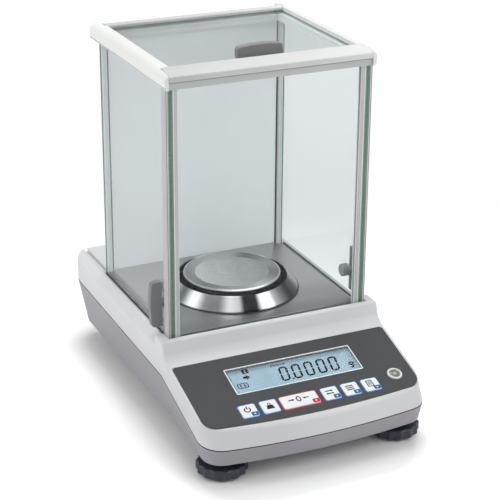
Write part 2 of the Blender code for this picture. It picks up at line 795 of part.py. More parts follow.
def key(name):
    """Key plate that rises just above the foil, its origin at its own middle."""
    plate = key_shape(name, 0, -KEY_FOOT, OVERLAY_RISE + KEY_RISE)
    set_origin(plate, (KEYS[name][0], -(KEY_BACK + KEY_FRONT) / 2, OVERLAY_RISE))
    soften(plate, KEY_EDGE, 1, 50)
    return adopt(on_console(plate), KEY_WHITE)


def spirit_level():
    """Round level: a cup with a bezel, and the vial that fills it."""
    top, edge = LEVEL_RISE, KEY_EDGE
    floor = LEVEL_BOTTOM + LEVEL_RADIUS - LEVEL_WELL
    cup = turned("level_housing", [(0, top), (LEVEL_RADIUS - edge, top), (LEVEL_RADIUS, top - edge),
                                   (LEVEL_RADIUS, LEVEL_BOTTOM), (0, LEVEL_BOTTOM)], LEVEL_PLACE)
    well = rod("level_well", LEVEL_WELL, floor, top + OVERSHOOT, LEVEL_PLACE)
    adopt(on_console(cut(cup, on_console(well))), ALLOY)
    rim = LEVEL_WELL - GAP
    vial = turned("level_vial", [(0, top - edge), (0.7 * rim, top - 1.5 * edge), (rim, top - 2.5 * edge),
                                 (rim, floor + GAP), (0, floor + GAP)], LEVEL_PLACE)
    adopt(on_console(vial), GLASS, True)


def floor_plate():
    """Steel floor of the weighing chamber, between the posts."""
    half = POST_INNER - FIT
    plate = block("floor_plate", (-half, PANE_BACK + FIT, DECK_Z + GAP), (half, PANEL_FRONT - FIT, FLOOR_TOP))
    soften(plate, FLOOR_EDGE, 2, 60)
    cut(plate, rod("floor_hole", FLOOR_HOLE, DECK_Z - OVERSHOOT, FLOOR_TOP + OVERSHOOT, (0, PAN_Y)))
    return adopt(plate, STEEL)


def slotted_post(name, side, front, back, slot_front, slot_back):
    """Upright with a slot in its inner face for the edge of a pane."""
    inner, outer, root = POST_INNER, GLASS_INNER - GAP, POST_INNER + PANE_HOLD + GAP
    near, far = slot_front - GAP, slot_back + GAP
    outline = [(outer, front), (outer, back), (inner, back), (inner, far), (root, far), (root, near),
               (inner, near), (inner, front)]
    post = flat_shape(name + side_name(side), mirrored(side, outline), DECK_Z + GAP, RAIL_BOTTOM - GAP)
    return adopt(soften(post, PANE_EDGE, 1, 60), FRAME)


def posts(side):
    """Front and rear post of one side, and the strip outside the door's front edge."""
    slotted_post("front_post_", side, POST_FRONT, POST_BACK, PANE_FRONT, PANE_BACK)
    slotted_post("rear_post_", side, REAR_POST_FRONT, REAR_POST_BACK, PANEL_FRONT, PANEL_BACK)
    near, far = GLASS_OUTER + GAP, GUIDE_OUTER
    back = POST_FRONT + GUIDE_DEPTH
    strip = rounded_box((far - near) / 2, POST_FRONT, back, GUIDE_ROUND, (near + far) / 2, 2)
    low, high = DECK_Z + GAP, RAIL_BOTTOM - GAP
    adopt(flat_shape("door_guide_" + side_name(side), mirrored(side, strip), low, high), FRAME)


def fixed_panes():
    """Front pane and opaque back panel, held in the posts' slots."""
    low = DECK_Z + GAP
    half = POST_INNER + PANE_HOLD
    pane = block("front_glass", (-half, PANE_FRONT, low), (half, PANE_BACK, PANE_TOP))
    adopt(soften(pane, PANE_EDGE), GLASS)
    adopt(block("back_panel", (-half, PANEL_FRONT, low), (half, PANEL_BACK, PANE_TOP)), PANEL)


def top_rail(side):
    """Rail with a rounded outer shoulder, a slot for the top door and one below for the side door."""
    label = side_name(side)
    inner, outer = GLASS_INNER - GAP, GLASS_OUTER + GAP
    shoulder = (RAIL_OUTER - RAIL_ROUND, RAIL_TOP - RAIL_ROUND)
    profile = [(RAIL_LIP, RAIL_BOTTOM), (inner, RAIL_BOTTOM), (inner, DOOR_SLOT_TOP), (outer, DOOR_SLOT_TOP),
               (outer, RAIL_BOTTOM), (RAIL_OUTER - RAIL_CHAMFER, RAIL_BOTTOM),
               (RAIL_OUTER, RAIL_BOTTOM + RAIL_CHAMFER)]
    profile += arc(shoulder, RAIL_ROUND, 0, 90, 7)
    profile += [(RAIL_INNER, RAIL_TOP), (RAIL_INNER, SLOT_HIGH), (SLOT_ROOT, SLOT_HIGH),
                (SLOT_ROOT, SLOT_LOW), (RAIL_LIP, SLOT_LOW)]
    rail = flat_shape("top_rail_" + label, mirrored(side, profile), RAIL_FRONT, RAIL_BACK, "XZ")
    low, high, front = RAIL_BOTTOM - FAR, RAIL_TOP + FAR, RAIL_FRONT - FAR
    nose = BAR_EDGE[0] + GAP
    ahead = [(front, low), (nose, low), (nose, BAR_EDGE[1]), BAR_SHOULDER, (BAR_BACK, RAIL_TOP),
             (BAR_BACK, high), (front, high)]
    cut(rail, flat_shape("rail_nose_" + label, ahead, -RAIL_OUTER - FAR, RAIL_OUTER + FAR, "YZ"))
    pockets = [(BAR_HALF + GAP, front, BAR_BACK + GAP, low, high),
               (POST_INNER + PANE_HOLD + GAP, PANEL_FRONT - GAP, PANEL_BACK + GAP, low, PANE_TOP + GAP),
               (RAIL_INNER + CROSSBAR_SEAT + GAP, CROSSBAR_FRONT - GAP, CROSSBAR_BACK + GAP, SLOT_HIGH, high)]
    for i, (reach, near, far, bottom, top) in enumerate(pockets):
        left, right = sorted((side * (RAIL_LIP - FAR), side * reach))
        cut(rail, block(f"rail_pocket_{label}_{i}", (left, near, bottom), (right, far, top)))
    return adopt(rail, FRAME)


def top_front_bar():
    """Front bar between the rails' caps: sloping top, face, shadow groove and the lip that holds the pane."""
    rebate = TOP_GLASS_FRONT - FIT
    near, far, roof, low = PANE_FRONT - GAP, PANE_BACK + GAP, PANE_TOP + GAP, RAIL_BOTTOM
    section = [(BAR_BACK, RAIL_TOP), BAR_SHOULDER, BAR_EDGE, (BAR_EDGE[0], BAR_GROOVE_HIGH),
               (BAR_GROOVE_ROOT, BAR_GROOVE_HIGH), (BAR_GROOVE_ROOT, BAR_GROOVE_LOW),
               (BAR_LIP_FRONT, BAR_GROOVE_LOW), (BAR_LIP_FRONT, low), (near, low), (near, roof),
               (far, roof), (far, low), (BAR_BACK, low), (BAR_BACK, SLOT_LOW), (rebate, SLOT_LOW),
               (rebate, SLOT_HIGH), (BAR_BACK, SLOT_HIGH)]
    bar = flat_shape("top_front_bar", section, -BAR_HALF, BAR_HALF, "YZ")
    for side in (-1, 1):
        left, right = sorted((side * (GLASS_INNER - GAP), side * (BAR_HALF + FAR)))
        cut(bar, block("bar_notch_" + side_name(side), (left, POST_FRONT - GAP, low - OVERSHOOT),
                       (right, BAR_BACK + OVERSHOOT, DOOR_SLOT_TOP)))
    return adopt(bar, FRAME)


def top_rear_bar():
    """Rear bar under the top door, with a slot for the back panel."""
    front, back, chamfer = REAR_BAR_FRONT, REAR_BAR_BACK, REAR_BAR_CHAMFER
    low, high, roof = RAIL_BOTTOM, SLOT_LOW - GAP, PANE_TOP + GAP
    near, far = PANEL_FRONT - GAP, PANEL_BACK + GAP
    section = [(front, low), (near, low), (near, roof), (far, roof), (far, low), (back, low),
               (back, high - chamfer), (back - chamfer, high), (front, high)]
    half = RAIL_LIP - GAP
    return adopt(flat_shape("top_rear_bar", section, -half, half, "YZ"), FRAME)


def rear_crossbar():
    """Flat bar over the top door's rear edge, let into both rails."""
    half = RAIL_INNER + CROSSBAR_SEAT
    bar = block("rear_crossbar", (-half, CROSSBAR_FRONT, SLOT_HIGH), (half, CROSSBAR_BACK, RAIL_TOP))
    return adopt(soften(bar, CROSSBAR_EDGE), FRAME)


def handle_shape(name):
    """Arched grip, drawn standing on z = 0 with its length along x."""
    crown_steps = 8
    shoulder = (HANDLE_HALF - HANDLE_SETBACK, HANDLE_SHOULDER)
    cheek = blend((HANDLE_HALF, HANDLE_CHEEK), (HANDLE_HALF, HANDLE_SHOULDER), shoulder, 3)
    crown = []
    for i in range(1, crown_steps):
        across = 1 - 2 * i / crown_steps
        rise = (HANDLE_CREST - HANDLE_SHOULDER) * (1 - across ** 2)
        crown.append((shoulder[0] * across, HANDLE_SHOULDER + rise))
    outline = [(-HANDLE_HALF, 0), (HANDLE_HALF, 0)] + cheek + crown + [(-x, z) for x, z in reversed(cheek)]
    grip = flat_shape(name, outline, -HANDLE_THICK / 2, HANDLE_THICK / 2, "XZ")
    return soften(grip, HANDLE_EDGE, 2, 40)


def knob_shape(name, glass):
    """Knurled nut under the glass with its screw, drawn with the glass's outer face at z = 0."""
    top = -glass - GAP
    low, shoulder = top - KNOB_LENGTH, KNOB_RADIUS - KNOB_EDGE
    profile = [(0, SCREW_REACH), (SCREW_RADIUS, SCREW_REACH), (SCREW_RADIUS, top), (shoulder, top),
               (KNOB_RADIUS, top - KNOB_EDGE), (KNOB_RADIUS, low + KNOB_EDGE), (shoulder, low), (0, low)]
    return turned(name, profile, (0, 0), SMALL_STEPS)


def door(label, glass, place, turn, thickness):
    """Sliding door: its pane with a screw hole, the grip outside and the nut inside."""
    bore = SCREW_RADIUS + GAP
    grip = handle_shape(label + "_handle")
    seat = rod(label + "_handle_bore", bore, -OVERSHOOT, SCREW_REACH + GAP, (0, 0), SMALL_STEPS)
    cut(grip, seat)
    nut = knob_shape(label + "_knob", thickness)
    hole = rod(label + "_hole", bore, -thickness - OVERSHOOT, OVERSHOOT, (0, 0), SMALL_STEPS)
    for item, lift in ((grip, GAP), (seat, GAP), (nut, 0), (hole, 0)):
        item.matrix_basis = Matrix.Translation(place) @ turn @ Matrix.Translation((0, 0, lift))
    cut(soften(glass, PANE_EDGE, 1, 60), hole)
    adopt(set_origin(glass, place), GLASS)
    adopt(grip, DARK)
    adopt(nut, DARK, True)


def doors():
    """Two side doors and the top door."""
    for side in (-1, 1):
        label = side_name(side) + "_door"
        left, right = sorted((side * GLASS_INNER, side * GLASS_OUTER))
        glass = block(label + "_glass", (left, POST_FRONT + GAP, GROOVE_BOTTOM + FIT),
                      (right, DOOR_BACK, DOOR_SLOT_TOP - 2 * FIT))
        outwards = Matrix.Rotation(math.radians(90 * side), 4, "Y")
        door(label, glass, (side * GLASS_OUTER, HANDLE_Y, HANDLE_Z), outwards, GLASS_OUTER - GLASS_INNER)
    pane = block("top_door_glass", (-TOP_GLASS_HALF_WIDTH, TOP_GLASS_FRONT, TOP_GLASS_LOW),
                 (TOP_GLASS_HALF_WIDTH, DOOR_BACK, TOP_GLASS_HIGH))
    upwards = Matrix.Identity(4)
    door("top_door", pane, (0, TOP_HANDLE_Y, TOP_GLASS_HIGH), upwards, TOP_GLASS_HIGH - TOP_GLASS_LOW)


def weighing_pan():
    """Dished steel pan with a rolled edge and a skirt."""
    rim, inside = PAN_RADIUS, PAN_RADIUS - PAN_SHEET
    dish, shelf = DISH_RADIUS - DISH_FLANK, DISH_RADIUS + DISH_FLANK / 2
    bottom, ledge = PAN_TOP - DISH_DEPTH, PAN_TOP - DISH_DEPTH / 4
    profile = [(0, bottom), (dish, bottom), (DISH_RADIUS, PAN_TOP - DISH_DEPTH / 2), (shelf, ledge),
               (rim - 2 * PAN_ROLL, ledge), (rim - PAN_ROLL, PAN_TOP),
               (rim - PAN_ROLL / 4, PAN_TOP - PAN_ROLL / 4), (rim, PAN_TOP - PAN_ROLL),
               (rim, PAN_TOP - PAN_SKIRT), (inside, PAN_TOP - PAN_SKIRT),
               (inside, ledge - PAN_SHEET - PAN_ROLL / 4), (shelf, ledge - PAN_SHEET),
               (dish, bottom - PAN_SHEET), (0, bottom - PAN_SHEET)]
    return adopt(turned("weighing_pan", profile, (0, PAN_Y), FINE_STEPS), STEEL, True)


def pan_support():
    """Carrier under the pan, with a hollow stem that sits on the load receptor."""
    top = PAN_TOP - DISH_DEPTH - PAN_SHEET - GAP
    under = top - SUPPORT_THICK
    mouth = RECEPTOR_TIP - STEM_OVERLAP
    profile = [(0, top), (SUPPORT_RADIUS - SUPPORT_THICK / 2, top), (SUPPORT_RADIUS, top - SUPPORT_THICK / 2),
               (SUPPORT_RADIUS, under), (STEM_RADIUS + SUPPORT_THICK, under - SUPPORT_THICK),
               (STEM_RADIUS, under - 2 * SUPPORT_THICK), (STEM_RADIUS, mouth), (STEM_BORE, mouth),
               (STEM_BORE, RECEPTOR_TIP - RECEPTOR_RADIUS), (0, RECEPTOR_TIP + FIT)]
    return adopt(turned("pan_support", profile, (0, PAN_Y)), ALLOY, True)


def load_receptor():
    """Pin of the weighing cell, with the cone that carries the pan's stem."""
    tip, collar = RECEPTOR_TIP, CELL_TOP + GAP
    step = tip - STEM_OVERLAP - 1 * MM
    profile = [(0, tip), (RECEPTOR_RADIUS, tip - RECEPTOR_RADIUS), (RECEPTOR_RADIUS, step),
               (RECEPTOR_COLLAR, step), (RECEPTOR_COLLAR, collar), (0, collar)]
    return adopt(turned("load_receptor", profile, (0, PAN_Y), SMALL_STEPS), ALLOY, True)


def shield_ring():
    """Conical draught ring that stands on the floor round the pan, with a rounded lip."""
    low, high, sheet = FLOOR_TOP + GAP, RING_TOP, RING_SHEET
    lip = arc((RING_TOP_RADIUS - sheet / 2, high - sheet / 2), sheet / 2, 180, 0, 4)
    foot = [(RING_BASE_RADIUS, low + sheet), (RING_BASE_RADIUS, low), (RING_BASE_RADIUS - sheet, low)]
    return adopt(turned("shield_ring", lip + foot, (0, PAN_Y), FINE_STEPS, True), STEEL, True)


def foot_wheel(side):
    """Scalloped wheel of a screw foot, with its stud above and a socket for the pad below."""
    label, place = side_name(side), (side * FOOT_X, FOOT_Y)
    count = WHEEL_LOBES * POINTS_PER_LOBE
    outline = []
    for i in range(count):
        turn = 2 * math.pi * i / count
        reach = WHEEL_RADIUS + WHEEL_LOBE * math.cos(WHEEL_LOBES * turn)
        outline.append((reach * math.cos(turn), reach * math.sin(turn)))
    wheel = flat_shape("foot_wheel_" + label, outline, WHEEL_BOTTOM, WHEEL_TOP)
    soften(wheel, WHEEL_EDGE, 1, 60)
    wheel.location = (*place, 0)
    join(wheel, rod("stud_" + label, STUD_RADIUS, WHEEL_TOP - OVERSHOOT, STUD_TOP, place, SMALL_STEPS))
    cut(wheel, rod("pad_bore_" + label, PAD_STUB_RADIUS + GAP, WHEEL_BOTTOM - OVERSHOOT, PAD_STUB_TOP + GAP,
                   place, SMALL_STEPS))
    return adopt(wheel, RUBBER)


def foot_pad(side):
    """Rubber pad under a screw foot, with the stub that the wheel turns on."""
    profile = [(0, PAD_STUB_TOP), (PAD_STUB_RADIUS, PAD_STUB_TOP), (PAD_STUB_RADIUS, PAD_TOP),
               (PAD_RADIUS, PAD_TOP), (PAD_RADIUS, PAD_EDGE), (PAD_RADIUS - PAD_EDGE, 0), (0, 0)]
    return adopt(turned("foot_pad_" + side_name(side), profile, (side * FOOT_X, FOOT_Y)), RUBBER, True)


def foot_insert(side):
    """Threaded bush that hangs through the tray over a foot's wheel."""
    bore, step = STUD_RADIUS + GAP, TRAY_BOTTOM + WALL + GAP
    top, bottom = step + BUSH_HEIGHT, WHEEL_TOP + GAP
    profile = [(bore, top), (BUSH_FLANGE, top), (BUSH_FLANGE, step), (BUSH_RADIUS, step),
               (BUSH_RADIUS, bottom), (bore, bottom)]
    place = (side * FOOT_X, FOOT_Y)
    return adopt(turned("foot_insert_" + side_name(side), profile, place, ROUND_STEPS, True), DARK, True)


def rear_foot(side):
    """Fixed rubber foot under the back of the tray."""
    top, rim, edge = TRAY_BOTTOM - GAP, REAR_FOOT_RADIUS, PAD_EDGE
    profile = [(0, top), (REAR_FOOT_FLANGE, top), (REAR_FOOT_FLANGE, top - REAR_FOOT_STEP),
               (rim + edge, top - REAR_FOOT_STEP - edge), (rim, edge), (rim - edge, 0), (0, 0)]
    place = (side * REAR_FOOT_X, REAR_FOOT_Y)
    return adopt(turned("rear_foot_" + side_name(side), profile, place, SMALL_STEPS), RUBBER, True)


def cell_base_plate():
    """Plate that carries the weighing cell and the magnet on the tray's floor."""
    back = MAGNET_Y + MAGNET_RADIUS + CELL_PLATE_MARGIN
    plate = block("cell_base_plate", (-CELL_PLATE_HALF_WIDTH, CELL_PLATE_FRONT, TRAY_BOTTOM + WALL + GAP),
                  (CELL_PLATE_HALF_WIDTH, back, CELL_LOW - GAP))
    return adopt(soften(plate, CELL_PLATE_MARGIN / 2), ALLOY)


def load_cell_block():
    """Monobloc cell: thin guides above and below, flexure hinges at their ends, and the lever's slot."""
    half, reach = GUIDE_SLOT_HALF, CELL_HALF_WIDTH + OVERSHOOT
    cell = block("load_cell_block", (-CELL_HALF_WIDTH, CELL_FRONT, CELL_LOW),
                 (CELL_HALF_WIDTH, CELL_BACK, CELL_TOP))
    slots = []
    for z in (CELL_LOW + GUIDE_SKIN, CELL_TOP - GUIDE_SKIN):
        slots.append(block("guide_slot", (-reach, GUIDE_FRONT, z - half), (reach, GUIDE_BACK, z + half)))
        for y in (GUIDE_FRONT, GUIDE_BACK):
            round_end = circle((y, z), FLEXURE_RADIUS, PIN_STEPS)
            slots.append(flat_shape("flexure", round_end, -reach, reach, "YZ"))
    width, near, far = 2 * half, GUIDE_FRONT + LEVER_INSET, GUIDE_BACK - LEVER_INSET
    low, high = CELL_LOW + LEVER_DROP, CELL_TOP - LEVER_DROP
    lever = [(near, low), (far, low), (far, low + width), (near + width, low + width),
             (near + width, high), (near, high)]
    slots.append(flat_shape("lever_slot", lever, -reach, reach, "YZ"))
    for slot in slots:
        cut(cell, slot)
    return adopt(cell, ALLOY)


def magnet_pot():
    """Pot magnet with a ring gap round its core."""
    profile = [(0, MAGNET_TOP), (MAGNET_CORE, MAGNET_TOP), (MAGNET_CORE, MAGNET_FLOOR),
               (MAGNET_BORE, MAGNET_FLOOR), (MAGNET_BORE, MAGNET_TOP), (MAGNET_RADIUS, MAGNET_TOP),
               (MAGNET_RADIUS, CELL_LOW), (0, CELL_LOW)]
    return adopt(turned("magnet_pot", profile, (0, MAGNET_Y), SMALL_STEPS), STEEL, True)


def coil_former():
    """Coil in the magnet's gap, hung from the end of the lever."""
    inner, outer = COIL_RADII
    arm_low = MAGNET_TOP + OVERSHOOT
    top, bottom = arm_low + COIL_CLEAR, MAGNET_FLOOR + COIL_CLEAR
    profile = [(inner, top), (outer, top), (outer, bottom), (inner, bottom)]
    former = turned("coil_former", profile, (0, MAGNET_Y), SMALL_STEPS, True)
    arm = block("coil_lever", (-LEVER_HALF_WIDTH, CELL_BACK + GAP, arm_low),
                (LEVER_HALF_WIDTH, MAGNET_Y + inner + OVERSHOOT, arm_low + LEVER_THICK))
    return adopt(join(former, arm), BRASS)


def main_board():
    """Main circuit board on its bosses."""
    board = block("main_board", (BOARD_X[0], BOARD_Y[0], BOARD_Z),
                  (BOARD_X[1], BOARD_Y[1], BOARD_Z + BOARD_THICK))
    return adopt(board, BOARD)


def socket_outline(name, x):
    """Mouth of a connector: round for the power inlet, D-shaped for the data port."""
    if name == "dc_inlet":
        return circle((x, PORT_Z), INLET_RADIUS, SMALL_STEPS)
    low, high = PORT_Z - DATA_HALF_HEIGHT, PORT_Z + DATA_HALF_HEIGHT
    return [(x - DATA_HALF_BOTTOM, low), (x + DATA_HALF_BOTTOM, low), (x + DATA_HALF_TOP, high),
            (x - DATA_HALF_TOP, high)]


def port(name):
    """Connector in the rear wall, with a flange behind it and an open socket."""
    x, half = PORTS[name]
    seat = HALF_DEPTH - WALL - GAP
    low, high = PORT_Z - PORT_HALF_HEIGHT, PORT_Z + PORT_HALF_HEIGHT
    body = block(name, (x - half, seat - OVERSHOOT, low), (x + half, PORT_FACE, high))
    wide = half + PORT_FLANGE
    join(body, block(name + "_flange", (x - wide, PORT_FACE - PORT_LENGTH, low - PORT_FLANGE),
                     (x + wide, seat, high)))
    cut(body, flat_shape(name + "_socket", socket_outline(name, x), PORT_FACE - SOCKET_DEPTH,
                         PORT_FACE + OVERSHOOT, "XZ"))
    return adopt(body, DARK)


def main():
    bottom_tray()
    upper_housing()
    console_overlay()
    display_window()
    lcd_module()
    display_board()
    keypad_mat()
    for name in KEYS:
        key(name)
    spirit_level()
    floor_plate()
    fixed_panes()
    for side in (-1, 1):
        posts(side)
        top_rail(side)
        foot_wheel(side)
        foot_pad(side)
        foot_insert(side)
        rear_foot(side)
    top_front_bar()
    top_rear_bar()
    rear_crossbar()
    doors()
    weighing_pan()
    pan_support()
    load_receptor()
    shield_ring()
    cell_base_plate()
    load_cell_block()
    magnet_pot()
    coil_former()
    main_board()
    for name in PORTS:
        port(name)


main()
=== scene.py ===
"""Looks of the analytical balance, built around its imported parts.

Metres, +Z up, the front at -Y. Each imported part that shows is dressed: the same shape with merged points,
softened edges and a procedural finish. Prints, display marks, icons and small hardware are added to them.
"""
import json
import math

import bmesh
import bpy
from mathutils import Matrix, Vector


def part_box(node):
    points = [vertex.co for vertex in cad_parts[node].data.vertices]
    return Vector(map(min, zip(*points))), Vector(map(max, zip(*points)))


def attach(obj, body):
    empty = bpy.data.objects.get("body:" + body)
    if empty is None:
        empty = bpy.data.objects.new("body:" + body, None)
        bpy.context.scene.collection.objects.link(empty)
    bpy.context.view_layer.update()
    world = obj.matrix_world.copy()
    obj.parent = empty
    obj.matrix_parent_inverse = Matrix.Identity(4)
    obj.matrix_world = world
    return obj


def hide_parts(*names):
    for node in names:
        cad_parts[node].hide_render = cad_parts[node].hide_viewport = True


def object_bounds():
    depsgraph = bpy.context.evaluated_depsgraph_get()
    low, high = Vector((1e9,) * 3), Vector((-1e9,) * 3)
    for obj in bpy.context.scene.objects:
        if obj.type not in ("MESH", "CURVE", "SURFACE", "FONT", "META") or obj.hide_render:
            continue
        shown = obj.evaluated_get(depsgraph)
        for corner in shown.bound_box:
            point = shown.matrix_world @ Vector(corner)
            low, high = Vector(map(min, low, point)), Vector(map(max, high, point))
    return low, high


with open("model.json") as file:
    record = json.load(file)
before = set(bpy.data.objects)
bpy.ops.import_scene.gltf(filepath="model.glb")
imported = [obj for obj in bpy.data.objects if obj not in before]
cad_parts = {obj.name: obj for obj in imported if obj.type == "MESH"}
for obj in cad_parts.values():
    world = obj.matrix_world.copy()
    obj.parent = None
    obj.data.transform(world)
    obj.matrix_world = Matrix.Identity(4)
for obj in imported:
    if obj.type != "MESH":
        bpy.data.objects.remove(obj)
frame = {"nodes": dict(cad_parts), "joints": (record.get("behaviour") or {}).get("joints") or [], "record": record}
CAD_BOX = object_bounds()
NODES = frame["nodes"]
BODY = {node: body for body, members in frame["record"]["behaviour"]["bodies"].items() for node in members}
JOINTS = {joint["name"]: joint for joint in frame["joints"]}

MM = 0.001

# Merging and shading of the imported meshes
WELD = 0.001 * MM
FLAT = math.radians(0.4)
CREASE = math.radians(40)

# How far a face's normal has to point along an axis to face that way, or squarely that way
FACING = 0.5
SQUARE = 0.9

# Radius of softened edges
SOFT_FOIL = 0.1 * MM
SOFT_KEY = 0.15 * MM
SOFT_POST = 0.2 * MM
SOFT_RAIL = 0.25 * MM

# Thickness of prints and display marks, and the gap under the marks
INK = 0.05 * MM
FLOAT = 0.01 * MM


# Shader nodes

FINISH = "_finish"
MIX_FIRST, MIX_SECOND, MIX_RESULT = 6, 7, 2


def new_material(name):
    """Material with its tree and its Principled shader."""
    made = bpy.data.materials.new(name + FINISH)
    made.use_nodes = True
    return made, made.node_tree, made.node_tree.nodes["Principled BSDF"]


def add(tree, kind, **values):
    """Shader node. Names in lower case are its properties, the others its inputs."""
    node = tree.nodes.new("ShaderNode" + kind)
    for key, value in values.items():
        if key[0].islower():
            setattr(node, key, value)
        else:
            node.inputs[key.replace("_", " ")].default_value = value
    return node


def feed(tree, socket, value):
    """Link a socket to another, or set it to a plain number or colour."""
    if isinstance(value, bpy.types.NodeSocket):
        tree.links.new(value, socket)
    else:
        socket.default_value = (*value, 1) if isinstance(value, tuple) else value


def calc(tree, operation, *values):
    """Result of a Math node on sockets and plain numbers."""
    node = add(tree, "Math", operation=operation)
    for socket, value in zip(node.inputs, values):
        feed(tree, socket, value)
    return node.outputs[0]


def own_place(tree):
    """A piece's own coordinates."""
    return add(tree, "TexCoord").outputs["Object"]


def own_axes(tree):
    """A piece's own X, Y and Z, one by one."""
    parts = add(tree, "SeparateXYZ")
    tree.links.new(own_place(tree), parts.inputs[0])
    return parts.outputs


def place_on(tree, stretch=(1, 1, 1)):
    """A piece's own coordinates, stretched."""
    mapping = add(tree, "Mapping", Scale=stretch)
    tree.links.new(own_place(tree), mapping.inputs["Vector"])
    return mapping.outputs["Vector"]


def length(tree, vector):
    node = add(tree, "VectorMath", operation="LENGTH")
    tree.links.new(vector, node.inputs[0])
    return node.outputs["Value"]


def slanted(tree, degrees):
    """Distance along a level direction of a piece."""
    node = add(tree, "VectorMath", operation="DOT_PRODUCT")
    node.inputs[1].default_value = (math.cos(math.radians(degrees)), math.sin(math.radians(degrees)), 0)
    tree.links.new(own_place(tree), node.inputs[0])
    return node.outputs["Value"]


def around(tree):
    """Distance from a turned piece's upright axis, and the angle round it from 0 to 1."""
    axes = own_axes(tree)
    flat = add(tree, "CombineXYZ")
    for axis in "XY":
        tree.links.new(axes[axis], flat.inputs[axis])
    angle = calc(tree, "ARCTAN2", axes["Y"], axes["X"])
    return length(tree, flat.outputs[0]), spread(tree, angle, 0, 1, -math.pi, math.pi)


def noise(tree, vector, scale, detail):
    node = add(tree, "TexNoise", Scale=scale, Detail=detail)
    tree.links.new(vector, node.inputs["Vector"])
    return node.outputs["Fac"]


def spread(tree, socket, low, high, start=0.3, end=0.7):
    """Value stretched from one range to another and held at both ends. The first range suits noise."""
    node = add(tree, "MapRange", From_Min=start, From_Max=end, To_Min=low, To_Max=high)
    tree.links.new(socket, node.inputs["Value"])
    return node.outputs["Result"]


def tint(tree, factor, first, second):
    """Colour between two, each a plain colour or a socket."""
    node = add(tree, "Mix", data_type="RGBA")
    for place, value in ((0, factor), (MIX_FIRST, first), (MIX_SECOND, second)):
        feed(tree, node.inputs[place], value)
    return node.outputs[MIX_RESULT]


def multiply(tree, first, second):
    """Product of two colours, each a plain colour or a socket."""
    node = add(tree, "Mix", data_type="RGBA", blend_type="MULTIPLY")
    for place, value in ((0, 1), (MIX_FIRST, first), (MIX_SECOND, second)):
        feed(tree, node.inputs[place], value)
    return node.outputs[MIX_RESULT]


def ramp(tree, factor, stops, smooth="EASE"):
    """Grey levels from pairs of place, from 0 to 1, and level."""
    node = add(tree, "ValToRGB")
    node.color_ramp.interpolation = smooth
    marks = node.color_ramp.elements
    while len(marks) < len(stops):
        marks.new(0.5)
    for mark, (place, grey) in zip(marks, stops):
        mark.position = place
        mark.color = (grey, grey, grey, 1)
    tree.links.new(factor, node.inputs["Fac"])
    return node.outputs["Color"]


def levels(tree, socket, stops, smooth="EASE"):
    """Grey levels from pairs of a socket's value and level."""
    start, end = stops[0][0], stops[-1][0]
    share = spread(tree, socket, 0, 1, start, end)
    return ramp(tree, share, [((at - start) / (end - start), grey) for at, grey in stops], smooth)


def relief(tree, shader, height, depth, strength=0.5):
    """Bump of a given depth."""
    node = add(tree, "Bump", Strength=strength, Distance=depth)
    tree.links.new(height, node.inputs["Height"])
    tree.links.new(node.outputs["Normal"], shader.inputs["Normal"])


def shaded(colour, share):
    return tuple(channel * share for channel in colour)


def clouds(tree, scale=11, detail=3):
    """Soft patches, from 0 to 1."""
    return spread(tree, noise(tree, place_on(tree), scale, detail), 0, 1)


def roughen(tree, shader, fine, roughness, limits):
    """Roughness that varies with a fine noise, below and above its mean."""
    low, high = roughness - limits[0], roughness + limits[1]
    tree.links.new(spread(tree, fine, low, high), shader.inputs["Roughness"])


# Kinds of finish: detail and scale of noise, limits of roughness, depth of relief, tones and stops

GRAIN_DETAIL = 2
LINE_DETAIL = 3
LINE_SHARE = 0.75
METAL_CLOUDS = (9, 2)
GLASS_CLOUDS = (7, 2)
LCD_CELLS = (260, 1)
PLASTIC_LIMITS = (0.04, 0.06)
BRUSHED_LIMITS = (0.06, 0.08)
BRUSHED_DEPTH = 0.02 * MM
TURNED_LIMITS = (0.05, 0.07)
TURNED_DEPTH = 0.015 * MM
TURNED_TONE = (0.88, 0.88, 0.88)
METAL_BUMP = 0.3
ZONE_BLUR = 0.25 * MM
GLASS_SHADE = 0.985
EDGE_GRAIN = 700
EDGE_SHADE = 0.85
EDGE_ROUGHNESS = 0.28
EDGE_STOPS = ((0, 1), (0.1, 0.8), (0.18, 0), (0.82, 0), (0.9, 0.8), (1, 1))
LCD_TONES = ((0.215, 0.305, 0.365), (0.235, 0.33, 0.39))
# LCD_BACK and LCD_ENDS are painted shade on the display film, under its back edge and at its ends
LCD_BACK = ((0, 1), (0.74, 1), (0.90, 0.62), (0.97, 0.22), (1, 0.10))
LCD_ENDS = ((0, 0.45), (0.02, 1), (0.93, 1), (0.985, 0.72), (1, 0.4))


def graded(tree, colour, grade):
    """Colour whose tone changes along an axis, in pairs of place and share, where a grade is given: painted shade.
    """
    if not grade:
        return colour
    axis, stops = grade
    return multiply(tree, colour, levels(tree, own_axes(tree)[axis], stops))


def plastic(name, colour, roughness, grain=1800, depth=0.02 * MM, shade=0.95, grade=None, **values):
    """Moulded plastic: faint clouds of tone, and a fine grain in gloss and height."""
    made, tree, shader = new_material(name)
    tone = tint(tree, clouds(tree), shaded(colour, shade), colour)
    tree.links.new(graded(tree, tone, grade), shader.inputs["Base Color"])
    fine = noise(tree, place_on(tree), grain, GRAIN_DETAIL)
    roughen(tree, shader, fine, roughness, PLASTIC_LIMITS)
    relief(tree, shader, fine, depth)
    for key, value in values.items():
        shader.inputs[key.replace("_", " ")].default_value = value
    return made


